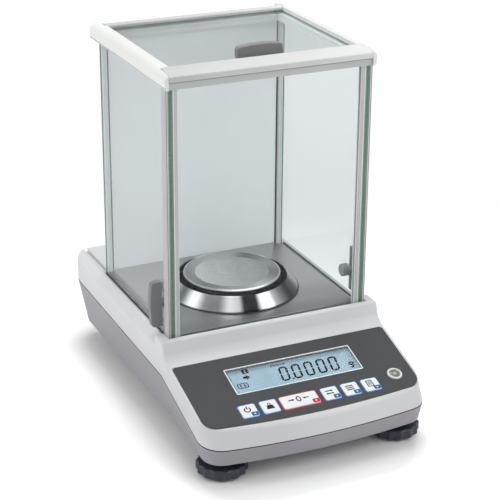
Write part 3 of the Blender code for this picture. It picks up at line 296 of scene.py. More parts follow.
def brushed(name, colour, stretch, roughness=0.34, shade=0.86, grade=None):
    """Sheet metal brushed one way."""
    made, tree, shader = new_material(name)
    lines = noise(tree, place_on(tree, stretch), 1, LINE_DETAIL)
    cloud = noise(tree, place_on(tree), *METAL_CLOUDS)
    mixed = calc(tree, "ADD", spread(tree, lines, 0, LINE_SHARE), spread(tree, cloud, 0, 1 - LINE_SHARE))
    tone = tint(tree, mixed, shaded(colour, shade), colour)
    tree.links.new(graded(tree, tone, grade), shader.inputs["Base Color"])
    roughen(tree, shader, lines, roughness, BRUSHED_LIMITS)
    relief(tree, shader, lines, BRUSHED_DEPTH, METAL_BUMP)
    shader.inputs["Metallic"].default_value = 1
    return made


def turned_steel(name, zones, lines, roughness, dish=None):
    """Steel turned on a lathe, with fine lines along radius and angle.

    Zones are pairs of inner radius and sheen. A sheen is a painted reflection: bright and dark sectors in
    the colour, in pairs of degrees round the axis and grey level. A dish has its direction, and its sheen,
    a painted reflection across it, in pairs of place along it and grey level.
    """
    made, tree, shader = new_material(name)
    radius, turn = around(tree)
    grid = add(tree, "CombineXYZ")
    for axis, socket, amount in zip("XY", (radius, turn), lines):
        tree.links.new(calc(tree, "MULTIPLY", socket, amount), grid.inputs[axis])
    fine = noise(tree, grid.outputs[0], 1, LINE_DETAIL)
    colour = None
    if dish:
        along, sheen = dish
        colour = levels(tree, slanted(tree, along), sheen)
    for inner, sheen in zones:
        level = ramp(tree, turn, [((angle + 180) / 360, grey) for angle, grey in sheen])
        if colour is not None:
            share = spread(tree, radius, 0, 1, inner - ZONE_BLUR, inner + ZONE_BLUR)
            level = tint(tree, share, colour, level)
        colour = level
    light = tint(tree, spread(tree, fine, 0, 1), TURNED_TONE, (1, 1, 1))
    tree.links.new(multiply(tree, colour, light), shader.inputs["Base Color"])
    roughen(tree, shader, fine, roughness, TURNED_LIMITS)
    relief(tree, shader, fine, TURNED_DEPTH, METAL_BUMP)
    shader.inputs["Metallic"].default_value = 1
    return made


def clear_glass(name, colour, passing=(0.92, 0.945, 0.945), bend=1.25):
    """Glass that bends what is seen through it and lets the lamps through."""
    made, tree, shader = new_material(name)
    tone = tint(tree, clouds(tree, *GLASS_CLOUDS), shaded(colour, GLASS_SHADE), colour)
    tree.links.new(tone, shader.inputs["Base Color"])
    shader.inputs["Roughness"].default_value = 0
    shader.inputs["IOR"].default_value = bend
    shader.inputs["Transmission Weight"].default_value = 1
    film = add(tree, "BsdfTransparent", Color=(*passing, 1))
    path = add(tree, "LightPath")
    choice = add(tree, "MixShader")
    for place, socket in enumerate((path.outputs["Is Shadow Ray"], shader.outputs[0], film.outputs[0])):
        tree.links.new(socket, choice.inputs[place])
    tree.links.new(choice.outputs[0], tree.nodes["Material Output"].inputs["Surface"])
    return made


def pane_edge(name, deep, pale):
    """Ground edge of an upright door pane: green in the middle of its thickness, pale along both arrises."""
    made, tree, shader = new_material(name)
    low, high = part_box("right_door_glass")
    out = calc(tree, "ABSOLUTE", own_axes(tree)["X"])
    share = ramp(tree, spread(tree, out, 0, 1, low.x, high.x), EDGE_STOPS)
    body = tint(tree, clouds(tree), shaded(deep, EDGE_SHADE), deep)
    tree.links.new(tint(tree, share, body, pale), shader.inputs["Base Color"])
    fine = noise(tree, place_on(tree), EDGE_GRAIN, GRAIN_DETAIL)
    roughen(tree, shader, fine, EDGE_ROUGHNESS, PLASTIC_LIMITS)
    return made


def display_face(name, width, depth):
    """Liquid crystal film: blue-grey, with painted shade under the back edge and at both ends."""
    made, tree, shader = new_material(name)
    axes = own_axes(tree)
    back = ramp(tree, spread(tree, axes["Y"], 0, 1, -depth / 2, depth / 2), LCD_BACK)
    ends = ramp(tree, spread(tree, axes["X"], 0, 1, -width / 2, width / 2), LCD_ENDS)
    body = tint(tree, clouds(tree, *LCD_CELLS), *LCD_TONES)
    tree.links.new(multiply(tree, body, multiply(tree, back, ends)), shader.inputs["Base Color"])
    shader.inputs["Roughness"].default_value = 0.5
    shader.inputs["Specular IOR Level"].default_value = 0.2
    return made


# Finishes

FINE = {"grain": 2600, "depth": 0.01 * MM}
DULL = {"shade": 0.9, "Specular_IOR_Level": 0.2}

# Painted shade: the housing's white darkens towards its bottom
HOUSING = plastic("housing_white", (0.735, 0.74, 0.755), 0.42, grade=("Z", ((45 * MM, 0.91), (92 * MM, 1))))
TRAY = plastic("tray_grey", (0.34, 0.33, 0.36), 0.48)
FRAME = plastic("frame_white", (0.75, 0.77, 0.76), 0.36, **FINE)
RAIL = plastic("rail_white", (0.86, 0.88, 0.86), 0.36, **FINE)
# Painted shade: the bars darken towards the left
BAR = plastic("bar_white", (0.76, 0.78, 0.77), 0.36, **FINE,
              grade=("X", ((-95 * MM, 0.74), (-40 * MM, 0.82), (30 * MM, 0.88), (95 * MM, 1))))
# Painted shade: dark lines in the grooves and gaps of the bars, rails and door guides
GROOVE_SHADE = plastic("painted_groove_shade", (0.26, 0.265, 0.27), 0.5, **FINE)
POST = plastic("post_grey", (0.56, 0.57, 0.57), 0.36, **FINE)
# Painted shade: a darker copy of the post grey for the side faces of the door guides
POST_SIDE = plastic("post_side", (0.51, 0.51, 0.52), 0.4, **FINE)
PANEL = plastic("panel_grey", (0.775, 0.795, 0.80), 0.45, grain=2400, depth=0.01 * MM)
OVERLAY = plastic("overlay", (0.072, 0.073, 0.077), 0.5, grain=3200, depth=0.012 * MM, **DULL)
KEY_WHITE = plastic("key_white", (0.88, 0.90, 0.92), 0.4, grain=3000, depth=0.01 * MM)
DARK = plastic("dark_plastic", (0.25, 0.247, 0.25), 0.5, shade=0.9)
SOCKET = plastic("socket_black", (0.03, 0.03, 0.032), 0.5, shade=0.85)
FOOT = plastic("foot_plastic", (0.038, 0.039, 0.060), 0.4, shade=0.8)
RUBBER = plastic("rubber", (0.035, 0.034, 0.038), 0.8, grain=1200, depth=0.04 * MM, shade=0.8)
# Painted shade: black for the seam on the tray, the ring's inner wall, the disc inside the ring and the pan's
# skirt
BLACK = plastic("painted_shade_black", (0.006, 0.006, 0.007), 0.9, depth=0.004 * MM, shade=0.8, Specular_IOR_Level=0.1)
INK_BLACK = plastic("ink_black", (0.006, 0.007, 0.010), 0.7, shade=0.9, Specular_IOR_Level=0.1)
INK_WHITE = plastic("ink_white", (0.90, 0.92, 0.93), 0.45)
INK_BLUE = plastic("ink_blue", (0.004, 0.135, 0.37), 0.42, **DULL)
INK_RED = plastic("ink_red", (0.60, 0.012, 0.022), 0.42, **DULL)
INK_GREY = plastic("ink_grey", (0.018, 0.018, 0.021), 0.5, **DULL)
BOARD = plastic("circuit_board", (0.015, 0.13, 0.055), 0.4, shade=0.8)
ALLOY = brushed("alloy", (0.66, 0.67, 0.69), (40, 40, 900))
# Painted shade and reflection: the brushed steel darkens towards the front
STEEL_SHEET = brushed("steel", (0.485, 0.475, 0.465), (18, 900, 900),
                      grade=("Y", ((-52 * MM, 0.50), (-25 * MM, 0.68), (15 * MM, 0.94), (100 * MM, 1))))
BRASS = brushed("brass", (0.62, 0.45, 0.18), (60, 60, 900))
# Painted light and shade: one glass tinted paler for the front pane and darker for the top pane, setting how
# bright things behind them look
GLASS = clear_glass("glass", (0.835, 0.86, 0.872))
FRONT_GLASS = clear_glass("front_glass", (0.90, 0.918, 0.93))
TOP_GLASS = clear_glass("top_glass", (0.75, 0.79, 0.79))
WINDOW = clear_glass("display_glass", (0.98, 0.985, 0.99), (0.97, 0.975, 0.98), 1.1)
EDGE_GLASS = plastic("glass_edge", (0.30, 0.39, 0.355), 0.25, grain=EDGE_GRAIN, shade=0.75)
DOOR_EDGE = pane_edge("glass_edge_door", (0.115, 0.235, 0.175), (0.50, 0.62, 0.55))
PALE_EDGE = plastic("glass_edge_pale", (0.55, 0.62, 0.59), 0.25, grain=EDGE_GRAIN, shade=0.9)
VIAL = plastic("level_liquid", (0.25, 0.275, 0.235), 0.2, grain=600, shade=0.9)
BUBBLE = plastic("level_bubble", (0.40, 0.43, 0.38), 0.15, grain=600)


# Pieces

def add_piece(name, shape, material, home=None, crease=CREASE):
    """Object from a finished bmesh drawn in the frame of home, smooth where it curves."""
    for face in shape.faces:
        face.smooth = True
    for edge in shape.edges:
        edge.smooth = len(edge.link_faces) == 2 and edge.calc_face_angle() < crease
    mesh = bpy.data.meshes.new(name)
    shape.to_mesh(mesh)
    shape.free()
    mesh.materials.append(material)
    piece = bpy.data.objects.new(name, mesh)
    bpy.context.scene.collection.objects.link(piece)
    if home is not None:
        piece.matrix_world = home
    return piece


def packed_shape(node):
    """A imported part's mesh with its points merged and its flat faces whole."""
    shape = bmesh.new()
    shape.from_mesh(NODES[node].data)
    bmesh.ops.remove_doubles(shape, verts=shape.verts, dist=WELD)
    bmesh.ops.dissolve_limit(shape, angle_limit=FLAT, verts=shape.verts, edges=shape.edges)
    return shape


def dress(node, material, rounding=0.0, home=None, crease=CREASE):
    """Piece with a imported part's own shape, its edges rounded, which stands for that part."""
    shape = packed_shape(node)
    if rounding:
        edges = [edge for edge in shape.edges
                 if len(edge.link_faces) == 2 and edge.calc_face_angle() > CREASE]
        bmesh.ops.bevel(shape, geom=edges, offset=rounding, segments=2, profile=0.5, affect="EDGES",
                        clamp_overlap=True)
    if home is not None:
        shape.transform(home.inverted())
    piece = add_piece(node + "_form", shape, material, home, crease)
    weighted = piece.modifiers.new("weighted_normals", "WEIGHTED_NORMAL")
    weighted.keep_sharp = True
    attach(piece, BODY[node])
    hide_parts(node)
    return piece


def recolour(piece, material, chosen):
    """Second finish on the faces that a test picks."""
    piece.data.materials.append(material)
    place = len(piece.data.materials) - 1
    for face in piece.data.polygons:
        if chosen(face):
            face.material_index = place


def dress_pane(node, across, clear=GLASS, edge=EDGE_GLASS):
    """Glass pane: clear on its two large faces, which face along one axis, and tinted at its edges."""
    pane = dress(node, clear)
    recolour(pane, edge, lambda face: abs(face.normal[across]) < SQUARE)


def local_box(node, home):
    """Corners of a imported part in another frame."""
    back = home.inverted()
    points = [back @ vertex.co for vertex in NODES[node].data.vertices]
    return (Vector(min(p[i] for p in points) for i in range(3)),
            Vector(max(p[i] for p in points) for i in range(3)))


# Flat drawings: an arrow's sides and tail are shares of its length ahead of its place

ARROW_SIDE = 0.8
ARROW_TAIL = 0.6


def plate(shape, outline, low, high):
    """Thin closed plate with a flat outline that runs anticlockwise."""
    lower = [shape.verts.new((x, y, low)) for x, y in outline]
    upper = [shape.verts.new((x, y, high)) for x, y in outline]
    shape.faces.new(list(reversed(lower)))
    shape.faces.new(upper)
    count = len(outline)
    for i in range(count):
        j = (i + 1) % count
        shape.faces.new((lower[i], lower[j], upper[j], upper[i]))


def band(shape, outer, inner, low, high, closed=True):
    """Closed plate between two lines with equal counts of points, both anticlockwise."""
    count = len(outer)
    rows = [[shape.verts.new((x, y, z)) for x, y in line]
            for line, z in ((outer, low), (outer, high), (inner, high), (inner, low))]
    for i in range(count if closed else count - 1):
        j = (i + 1) % count
        for first, second in zip(rows, rows[1:] + rows[:1]):
            shape.faces.new((first[i], first[j], second[j], second[i]))
    if not closed:
        shape.faces.new([row[0] for row in rows])
        shape.faces.new([row[-1] for row in reversed(rows)])


def box_line(x0, y0, x1, y1, radius=0.0, count=4):
    """Rectangle, or one with round corners."""
    if not radius:
        return [(x0, y0), (x1, y0), (x1, y1), (x0, y1)]
    corners = ((x1 - radius, y0 + radius, -90), (x1 - radius, y1 - radius, 0),
               (x0 + radius, y1 - radius, 90), (x0 + radius, y0 + radius, 180))
    return [point for x, y, start in corners for point in arc_line((x, y), radius, start, start + 90, count)]


def arc_line(centre, radius, start, end, count, squash=1.0):
    """Points along an arc, in degrees."""
    angles = [math.radians(start + (end - start) * i / count) for i in range(count + 1)]
    return [(centre[0] + radius * squash * math.cos(a), centre[1] + radius * math.sin(a)) for a in angles]


def circle_line(centre, radius, count=32, squash=1.0):
    return arc_line(centre, radius, 0, 360 - 360 / count, count - 1, squash)


def stroke_line(shape, start, end, width, low, high):
    """Straight bar between two points."""
    first, last = Vector(start), Vector(end)
    along = (last - first).normalized()
    side = Vector((-along.y, along.x)) * width / 2
    plate(shape, [(p.x, p.y) for p in (first - side, last - side, last + side, first + side)], low, high)


def arrow(shape, place, way, size, low, high):
    """Solid arrow head that points along a direction."""
    ahead = Vector(way).normalized() * size
    side = Vector((-ahead.y, ahead.x)) * ARROW_SIDE
    tail = Vector(place) - ahead * ARROW_TAIL
    points = (Vector(place) + ahead, tail + side, tail - side)
    plate(shape, [(p.x, p.y) for p in points], low, high)


def printed(name, shape, material, home, body):
    """Drawing laid on a part: it rides with that part's body."""
    bmesh.ops.recalc_face_normals(shape, faces=shape.faces)
    piece = add_piece(name, shape, material, home)
    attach(piece, body)


def block(name, across, along, up, material, sign=1):
    """Small block on the base between pairs of places, mirrored to the left where sign is -1."""
    left, right = sorted(sign * x for x in across)
    shape = bmesh.new()
    plate(shape, box_line(left, along[0], right, along[1]), *up)
    printed(name, shape, material, None, "base")


# Base and shield

LINE = 0.7 * MM
POST_LINE = 1.4 * LINE
PANEL_LINE = 2.6 * LINE
INSET = 0.2 * MM
RAIL_CHAMFER = 1.9 * MM
RAIL_LINE = 0.6 * MM
BAR_LINE = (-0.91 * MM, 0.39 * MM)
TRACK = 0.3 * MM
TRACK_GAP = 0.3 * MM
SEAL = (0.8 * MM, 1.1 * MM)
SEAL_GAP = 0.4 * MM
NEAR = 1 * MM


def sides(node):
    """Least and greatest distance from the middle of a part that is on one side."""
    low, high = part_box(node)
    return sorted((abs(low.x), abs(high.x)))


def dress_side(side, sign):
    """Guide, posts and rail of one side, with painted light and shade: darker side faces on the guide, one paler
    side on each post, the pale line of painted highlight on the post and the dark line of painted shade on the
    rail.
    """
    guide = dress("door_guide_" + side, RAIL, SOFT_POST)
    # Painted shade: the guide's side faces take a darker copy of the post grey
    recolour(guide, POST_SIDE, lambda face: abs(face.normal.x) > FACING)
    for node, pale_side in (("front_post_", -1), ("rear_post_", 1)):
        post = dress(node + side, POST, SOFT_POST)
        # Painted light: one side face of each post takes the paler rail finish
        recolour(post, RAIL, lambda face: face.normal.x * sign * pale_side > FACING)
    # Painted highlight: a pale line down the front post's outer front edge
    low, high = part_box("front_post_" + side)
    outer = sides("front_post_" + side)[1]
    block("post_line_" + side, (outer - POST_LINE, outer - INSET), (low.y - INK, low.y), (low.z, high.z),
          RAIL, sign=sign)
    dress("top_rail_" + side, RAIL, SOFT_RAIL)
    # Painted shade: a dark line along the rail's outer side, above its lower chamfer
    low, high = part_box("top_rail_" + side)
    outer = sides("top_rail_" + side)[1]
    foot = low.z + RAIL_CHAMFER
    block("rail_line_" + side, (outer, outer + INK), (low.y + LINE, high.y - LINE), (foot, foot + RAIL_LINE),
          GROOVE_SHADE, sign=sign)


def trim_side(side, sign):
    """Dark lines of painted shade beside one side's door and at the back panel, and the track and seal along the
    door.
    """
    guide_low, guide_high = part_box("door_guide_" + side)
    post_low, post_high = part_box("rear_post_" + side)
    floor_low, floor_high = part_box("floor_plate")
    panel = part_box("back_panel")[0].y
    outer = sides("door_guide_" + side)[1]
    inner = sides("rear_post_" + side)[0]
    near, far = sides(side + "_door_glass")
    deck = guide_low.z
    # Painted shade: a dark line down the front of the door guide, by its outer edge
    block("guide_line_" + side, (outer - 2 * LINE, outer - LINE), (guide_low.y - INK, guide_low.y),
          (deck, guide_high.z), GROOVE_SHADE, sign=sign)
    # Painted shade: a black line on the back panel beside the rear post
    block("panel_line_" + side, (inner - PANEL_LINE, inner - INSET), (panel - INK, panel),
          (post_low.z, post_high.z), SOCKET, sign)
    block("track_" + side, (floor_high.x + LINE, near - TRACK_GAP), (floor_low.y, post_low.y - TRACK),
          (deck, deck + TRACK), STEEL_SHEET, sign)
    block("seal_" + side, (far + SEAL_GAP, far + SEAL_GAP + SEAL[0]), (guide_high.y + TRACK, post_low.y),
          (deck - TRACK, deck + SEAL[1]), RUBBER, sign)


def dress_bars():
    """Front bar with painted shade on its lip's front face and a dark line of painted shade in its groove, and the
    two bars at the back.
    """
    bar = dress("top_front_bar", BAR, SOFT_RAIL)
    low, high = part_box("top_front_bar")
    lip = max(face.center.z for face in bar.data.polygons
              if face.normal.y < -SQUARE and face.center.y > low.y + NEAR)
    front = min(vertex.co.y for vertex in bar.data.vertices if vertex.co.z < low.z + NEAR)
    # Painted shade: the lip's front face takes the darker post grey
    recolour(bar, POST, lambda face: face.center.z < lip + NEAR and face.center.y < front + NEAR)
    # Painted shade: a dark line in the groove over the lip
    block("bar_line", (low.x + LINE, high.x - LINE), (front - INK, front),
          (lip + BAR_LINE[0], lip + BAR_LINE[1]), GROOVE_SHADE)
    for node in ("top_rear_bar", "rear_crossbar"):
        dress(node, BAR, SOFT_RAIL)


def dress_base():
    dress("upper_housing", HOUSING)
    # Painted shade: the tray's upward faces, seen in the seam under the housing, are black
    recolour(dress("bottom_tray", TRAY), BLACK, lambda face: face.normal.z > FACING)
    recolour(dress("floor_plate", STEEL_SHEET), ALLOY, lambda face: abs(face.normal.x) > FACING)
    dress("back_panel", PANEL, SOFT_POST)
    for side, sign in (("left", -1), ("right", 1)):
        dress_side(side, sign)
        trim_side(side, sign)
    dress_bars()
    dress_pane("front_glass", 1, FRONT_GLASS, PALE_EDGE)
    dress_pane("left_door_glass", 0, edge=DOOR_EDGE)
    dress_pane("right_door_glass", 0, edge=DOOR_EDGE)
    dress_pane("top_door_glass", 2, TOP_GLASS)


# Grips with their knurled nuts

KNURLS = 26
KNURL_WIDTH = 0.7 * MM
KNURL_RISE = 0.25 * MM
RIM_SHARE = 0.98


def knurl(label, axis):
    """Ridges round a grip's nut, which lies along one axis."""
    node = label + "_knob"
    low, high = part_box(node)
    place = (low + high) / 2
    others = [i for i in range(3) if i != axis]
    radius = (high - low)[others[0]] / 2
    wide = [vertex.co[axis] for vertex in NODES[node].data.vertices
            if math.hypot(*(vertex.co[i] - place[i] for i in others)) > RIM_SHARE * radius]
    start, end = min(wide), max(wide)
    place[axis] = (start + end) / 2
    way = Vector([float(i == axis) for i in range(3)])
    turn = Vector((0, 0, 1)).rotation_difference(way).to_matrix().to_4x4()
    out = Matrix.Translation((radius - KNURL_RISE, 0, 0))
    size = Matrix.Diagonal((4 * KNURL_RISE, KNURL_WIDTH, end - start, 1))
    shape = bmesh.new()
    for i in range(KNURLS):
        spin = Matrix.Rotation(2 * math.pi * i / KNURLS, 4, "Z")
        ridge = bmesh.ops.create_cube(shape, size=1)["verts"]
        bmesh.ops.transform(shape, verts=ridge, matrix=spin @ out @ size)
    printed(label + "_knurl", shape, DARK, Matrix.Translation(place) @ turn, BODY[node])


def dress_grips():
    for label, axis in (("left_door", 0), ("right_door", 0), ("top_door", 2)):
        dress(label + "_handle", DARK)
        dress(label + "_knob", DARK)
        knurl(label, axis)


# Weighing pan and its ring: sheen is painted reflection, in degrees round the axis, or along the dish, and grey
# level

RING_SHEEN = ((-180, 0.48), (-167, 0.14), (-152, 0.62), (-139, 0.18), (-127, 0.24), (-116, 0.88),
              (-109, 0.68), (-103, 0.01), (-92, 0.005), (-86, 0.52), (-79, 0.90), (-71, 0.32), (-50, 0.03),
              (-38, 0.07), (-18, 0.55), (8, 0.10), (35, 0.75), (65, 0.14), (95, 0.80), (125, 0.18),
              (152, 0.66), (180, 0.48))
BRIM_SHEEN = ((-180, 0.33), (-145, 0.22), (-110, 0.40), (-72, 0.62), (-30, 0.26), (5, 0.40), (45, 0.18),
              (75, 0.50), (105, 0.54), (145, 0.40), (180, 0.33))
EDGE_SHEEN = ((-180, 0.62), (-150, 0.40), (-90, 0.92), (-50, 0.50), (0, 0.8), (60, 0.4), (110, 0.9),
              (180, 0.62))
DISH_SHEEN = ((-35 * MM, 0.76), (-12 * MM, 0.63), (12 * MM, 0.48), (35 * MM, 0.40))
DISH_ALONG = -18
DISH_SHARE = 0.76
BRIM_SHARE = 0.972
SKIRT_SHARE = 0.9
PAN_CREASE = math.radians(20)
PAN_LINES = (3000, 10)
PAN_ROUGHNESS = 0.28
RING_LINES = (300, 700)
RING_ROUGHNESS = 0.34
RING_SIDES = 64
STEEP = 0.3
# Painted contact shadow round the ring's foot, and the disc of painted shade inside the ring
RING_SHADOW_REACH = 1.1 * MM
RING_SHADOW_RISE = 0.3 * MM
SHADE_DISC_RISE = 0.2 * MM
SHADE_DISC_GAP = 2 * MM


def painted_shade_ring(name, home, outer, inner, low, high, material):
    """Flat ring of painted shade on the base round the pan."""
    shape = bmesh.new()
    band(shape, circle_line((0, 0), outer, RING_SIDES), circle_line((0, 0), inner, RING_SIDES), low, high)
    printed(name, shape, material, home, "base")


def dress_ring(home):
    """Draught ring with painted shade on its inner wall, a dark band of painted contact shadow round its foot, and
    a black disc of painted shade in it.
    """
    steel = turned_steel("ring_steel", ((0, RING_SHEEN),), RING_LINES, RING_ROUGHNESS)
    ring = dress("shield_ring", steel, home=home)
    # Painted shade: the ring's inner wall is black
    recolour(ring, BLACK, lambda face: (face.normal.to_2d().dot(face.center.to_2d()) < 0
                                        and face.normal.z < STEEP))
    low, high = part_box("shield_ring")
    reach = (high.x - low.x) / 2
    # Painted contact shadow: a dark band on the base round the ring's foot
    painted_shade_ring("ring_contact_shadow", home, reach + RING_SHADOW_REACH, reach - RING_SHADOW_REACH, low.z, low.z + RING_SHADOW_RISE, RUBBER)
    # Painted shade: a black disc on the base inside the ring, round the pan's stem
    low_stem, high_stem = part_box("pan_support")
    clear = (high_stem.x - low_stem.x) / 2 + SHADE_DISC_GAP
    floor = low.z - RING_SHADOW_RISE
    painted_shade_ring("ring_shade_disc", home, reach - 2 * SHADE_DISC_GAP, clear, floor, floor + SHADE_DISC_RISE, BLACK)


def dress_pan(home, radius):
    """Dished pan with painted shade on its skirt, on its support."""
    zones = ((DISH_SHARE * radius, BRIM_SHEEN), (BRIM_SHARE * radius, EDGE_SHEEN))
    steel = turned_steel("pan_steel", zones, PAN_LINES, PAN_ROUGHNESS, (DISH_ALONG, DISH_SHEEN))
    pan = dress("weighing_pan", steel, home=home, crease=PAN_CREASE)
    # Painted shade: the pan's skirt is black
    skirt = SKIRT_SHARE * radius
    recolour(pan, BLACK, lambda face: face.normal.z < STEEP and face.center.to_2d().length > skirt)
    dress("pan_support", ALLOY)


def dress_weighing():
    low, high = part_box("weighing_pan")
    home = Matrix.Translation(((low.x + high.x) / 2, (low.y + high.y) / 2, 0))
    dress_ring(home)
    dress_pan(home, (high.x - low.x) / 2)


# Console frame: x across, y up the slope, z out of the foil, from the foil's back edge

def console_home():
    out = -Vector(JOINTS["tare_press"]["axis"]).normalized()
    across = Vector((1, 0, 0))
    turn = Matrix((across, out.cross(across), out)).transposed().to_4x4()
    corner = local_box("console_overlay", turn)[1]
    return turn @ Matrix.Translation((0, corner.y, corner.z))


CONSOLE = console_home()


# Display: places are shares of its width and depth

FILM_GAP = 0.09 * MM
FILM_THICK = 0.1 * MM
FRAME_WIDTH = 1.0 * MM
FRAME_ROUND = (1.2 * MM, 0.4 * MM)
DIGITS = 5
DIGIT = (8.3 * MM, 17.2 * MM)
DIGIT_PITCH = 11.9 * MM
DIGIT_PLACE = (0.372, 0.435)
DIGIT_STROKE = 1.9 * MM
DIGIT_LEAN = 0.14
POINT_GAP = 1.3 * MM
UNIT_SIZE = (5.2 * MM, 7.8 * MM)
UNIT_PLACE = (0.918, 0.245)
UNIT_STROKE = 1.75 * MM
SEGMENT_GAP = 0.04
SEGMENTS = {"0": "abcdef", "g": "abcdfg"}
BARS_PLACE = (0.12, 0.84)
BARS_STEP = 3.4 * MM
BARS_SIZE = (2.4 * MM, 5.2 * MM)
SIGN_PLACE = (0.105, 0.60)
SIGN_TAIL = (3 * MM, 2.4 * MM)
SIGN_HEAD = (3.6 * MM, 6 * MM)
CELL_PLACE = (0.03, 0.20)
CELL_SIZE = (10 * MM, 6 * MM)
CELL_WALL = 0.8 * MM
CELL_ROUND = (1.6 * MM, 0.9 * MM)
CELL_BARS = (2.6 * MM, 6.2 * MM)
CELL_BAR = (1.2 * MM, 2.8 * MM)
SCALE_PLACE = (0.345, 0.84)
SCALE_BARS = 9
SCALE_GROUP = 4
SCALE_STEP = 1.6 * MM
SCALE_WIDTH = 1.0 * MM
SCALE_SHORT, SCALE_LONG = 1.4 * MM, 2.6 * MM


def digit(shape, mark, corner, size, stroke, low, high):
    """Seven-segment figure of pointed bars, leaning to the right, with its lower left corner at a place."""
    x0, x1 = stroke / 2, size[0] - stroke / 2
    y0, y1, y2 = stroke / 2, size[1] / 2, size[1] - stroke / 2
    bars = {"a": ((x0, y2), (x1, y2)), "b": ((x1, y2), (x1, y1)), "c": ((x1, y1), (x1, y0)),
            "d": ((x1, y0), (x0, y0)), "e": ((x0, y0), (x0, y1)), "f": ((x0, y1), (x0, y2)),
            "g": ((x0, y1), (x1, y1))}
    for name in SEGMENTS[mark]:
        first, last = (Vector(point) for point in bars[name])
        along = (last - first).normalized() * stroke
        first, last = first + along * SEGMENT_GAP, last - along * SEGMENT_GAP
        tip = along / 2
        side = Vector((-tip.y, tip.x))
        points = (first, first + tip - side, last - tip - side, last, last - tip + side, first + tip + side)
        plate(shape, [(corner[0] + p.x + DIGIT_LEAN * p.y, corner[1] + p.y) for p in points], low, high)


def display_marks(low, high, top):
    """Reading and small marks of the display, drawn on its face."""
    shape = bmesh.new()
    z0, z1 = top + FLOAT, top + FLOAT + INK
    width, depth = high.x - low.x, high.y - low.y

    def spot(place):
        return low.x + place[0] * width, low.y + place[1] * depth

    def bar(x, y, size):
        """Upright bar from its left side, at half its height."""
        plate(shape, box_line(x, y - size[1] / 2, x + size[0], y + size[1] / 2), z0, z1)

    # Reading with its point and unit
    x, y = spot(DIGIT_PLACE)
    foot = y - DIGIT[1] / 2
    for i in range(DIGITS):
        digit(shape, "0", (x + i * DIGIT_PITCH, foot), DIGIT, DIGIT_STROKE, z0, z1)
    bar(x + DIGIT[0] + POINT_GAP, foot + DIGIT_STROKE / 2, (DIGIT_STROKE, DIGIT_STROKE))
    x, y = spot(UNIT_PLACE)
    digit(shape, "g", (x, y - UNIT_SIZE[1] / 2), UNIT_SIZE, UNIT_STROKE, z0, z1)

    # Two bars, an arrow and a boxed cell at the left end
    x, y = spot(BARS_PLACE)
    for step in (0, BARS_STEP):
        bar(x + step, y, BARS_SIZE)
    x, y = spot(SIGN_PLACE)
    bar(x, y, SIGN_TAIL)
    neck, half = x + SIGN_TAIL[0], SIGN_HEAD[1] / 2
    plate(shape, [(neck, y - half), (neck + SIGN_HEAD[0], y), (neck, y + half)], z0, z1)
    x, y = spot(CELL_PLACE)
    right, back = x + CELL_SIZE[0], y + CELL_SIZE[1]
    band(shape, box_line(x, y, right, back, CELL_ROUND[0]),
         box_line(x + CELL_WALL, y + CELL_WALL, right - CELL_WALL, back - CELL_WALL, CELL_ROUND[1]), z0, z1)
    for step in CELL_BARS:
        bar(x + step, (y + back) / 2, CELL_BAR)

    # Row of short bars over the reading
    x, y = spot(SCALE_PLACE)
    for i in range(SCALE_BARS):
        bar(x + i * SCALE_STEP, y, (SCALE_WIDTH, SCALE_SHORT if i % SCALE_GROUP else SCALE_LONG))
    printed("display_marks", shape, INK_BLACK, CONSOLE, "base")


def dress_display():
    """Display under its window: the film, the marks on it, and the white frame on the foil."""
    dress("lcd_module", SOCKET)
    dress("display_window", WINDOW)
    low, high = local_box("display_window", CONSOLE)
    centre = (low + high) / 2
    half = (high - low) / 2
    top = low.z - FILM_GAP
    film = bmesh.new()
    plate(film, box_line(-half.x, -half.y, half.x, half.y), top - FILM_THICK, top)
    lit = display_face("lcd", 2 * half.x, 2 * half.y)
    home = CONSOLE @ Matrix.Translation((centre.x, centre.y, 0))
    printed("display_film", film, lit, home, "base")
    display_marks(low, high, top)
    shape = bmesh.new()
    edge = FRAME_WIDTH
    band(shape, box_line(low.x - edge, low.y - edge, high.x + edge, high.y + edge, FRAME_ROUND[0]),
         box_line(low.x, low.y, high.x, high.y, FRAME_ROUND[1]), 0, INK)
    printed("display_frame", shape, INK_WHITE, CONSOLE, "base")


# Key prints: icons are drawn round a key's middle

BORDER = 1.1 * MM
BORDER_ROUND = (2.2 * MM, 1.8 * MM)
HOLE_GAP = 0.4 * MM
TAB = (6.2 * MM, 4.4 * MM)
TAB_INSET = 0.5 * MM
TAB_ROUND = 0.8 * MM
TAB_ARROW = 1.2 * MM
STROKE = 0.95 * MM
ICON_SCALE = 1.2
ICON_SHIFT = (-0.72 * MM, 1.2 * MM)


def icon_power(shape, low, high):
    """Open ring with a stem in its gap."""
    ring, stem = 2.6 * MM, (0.4 * MM, 3.4 * MM)
    start, end, count = 125, 415, 24
    outer, inner = (arc_line((0, 0), radius, start, end, count) for radius in (ring, ring - STROKE))
    band(shape, outer, inner, low, high, False)
    stroke_line(shape, (0, stem[0]), (0, stem[1]), STROKE, low, high)


def icon_weight(shape, low, high):
    """Test weight with a ring on top."""
    foot, neck = 3 * MM, 2.2 * MM
    bottom, shoulder = -2.6 * MM, 1 * MM
    eye, radii, count = 2 * MM, (1.3 * MM, 0.7 * MM), 16
    plate(shape, [(-foot, bottom), (foot, bottom), (neck, shoulder), (-neck, shoulder)], low, high)
    outer, inner = (circle_line((0, eye), radius, count) for radius in radii)
    band(shape, outer, inner, low, high)


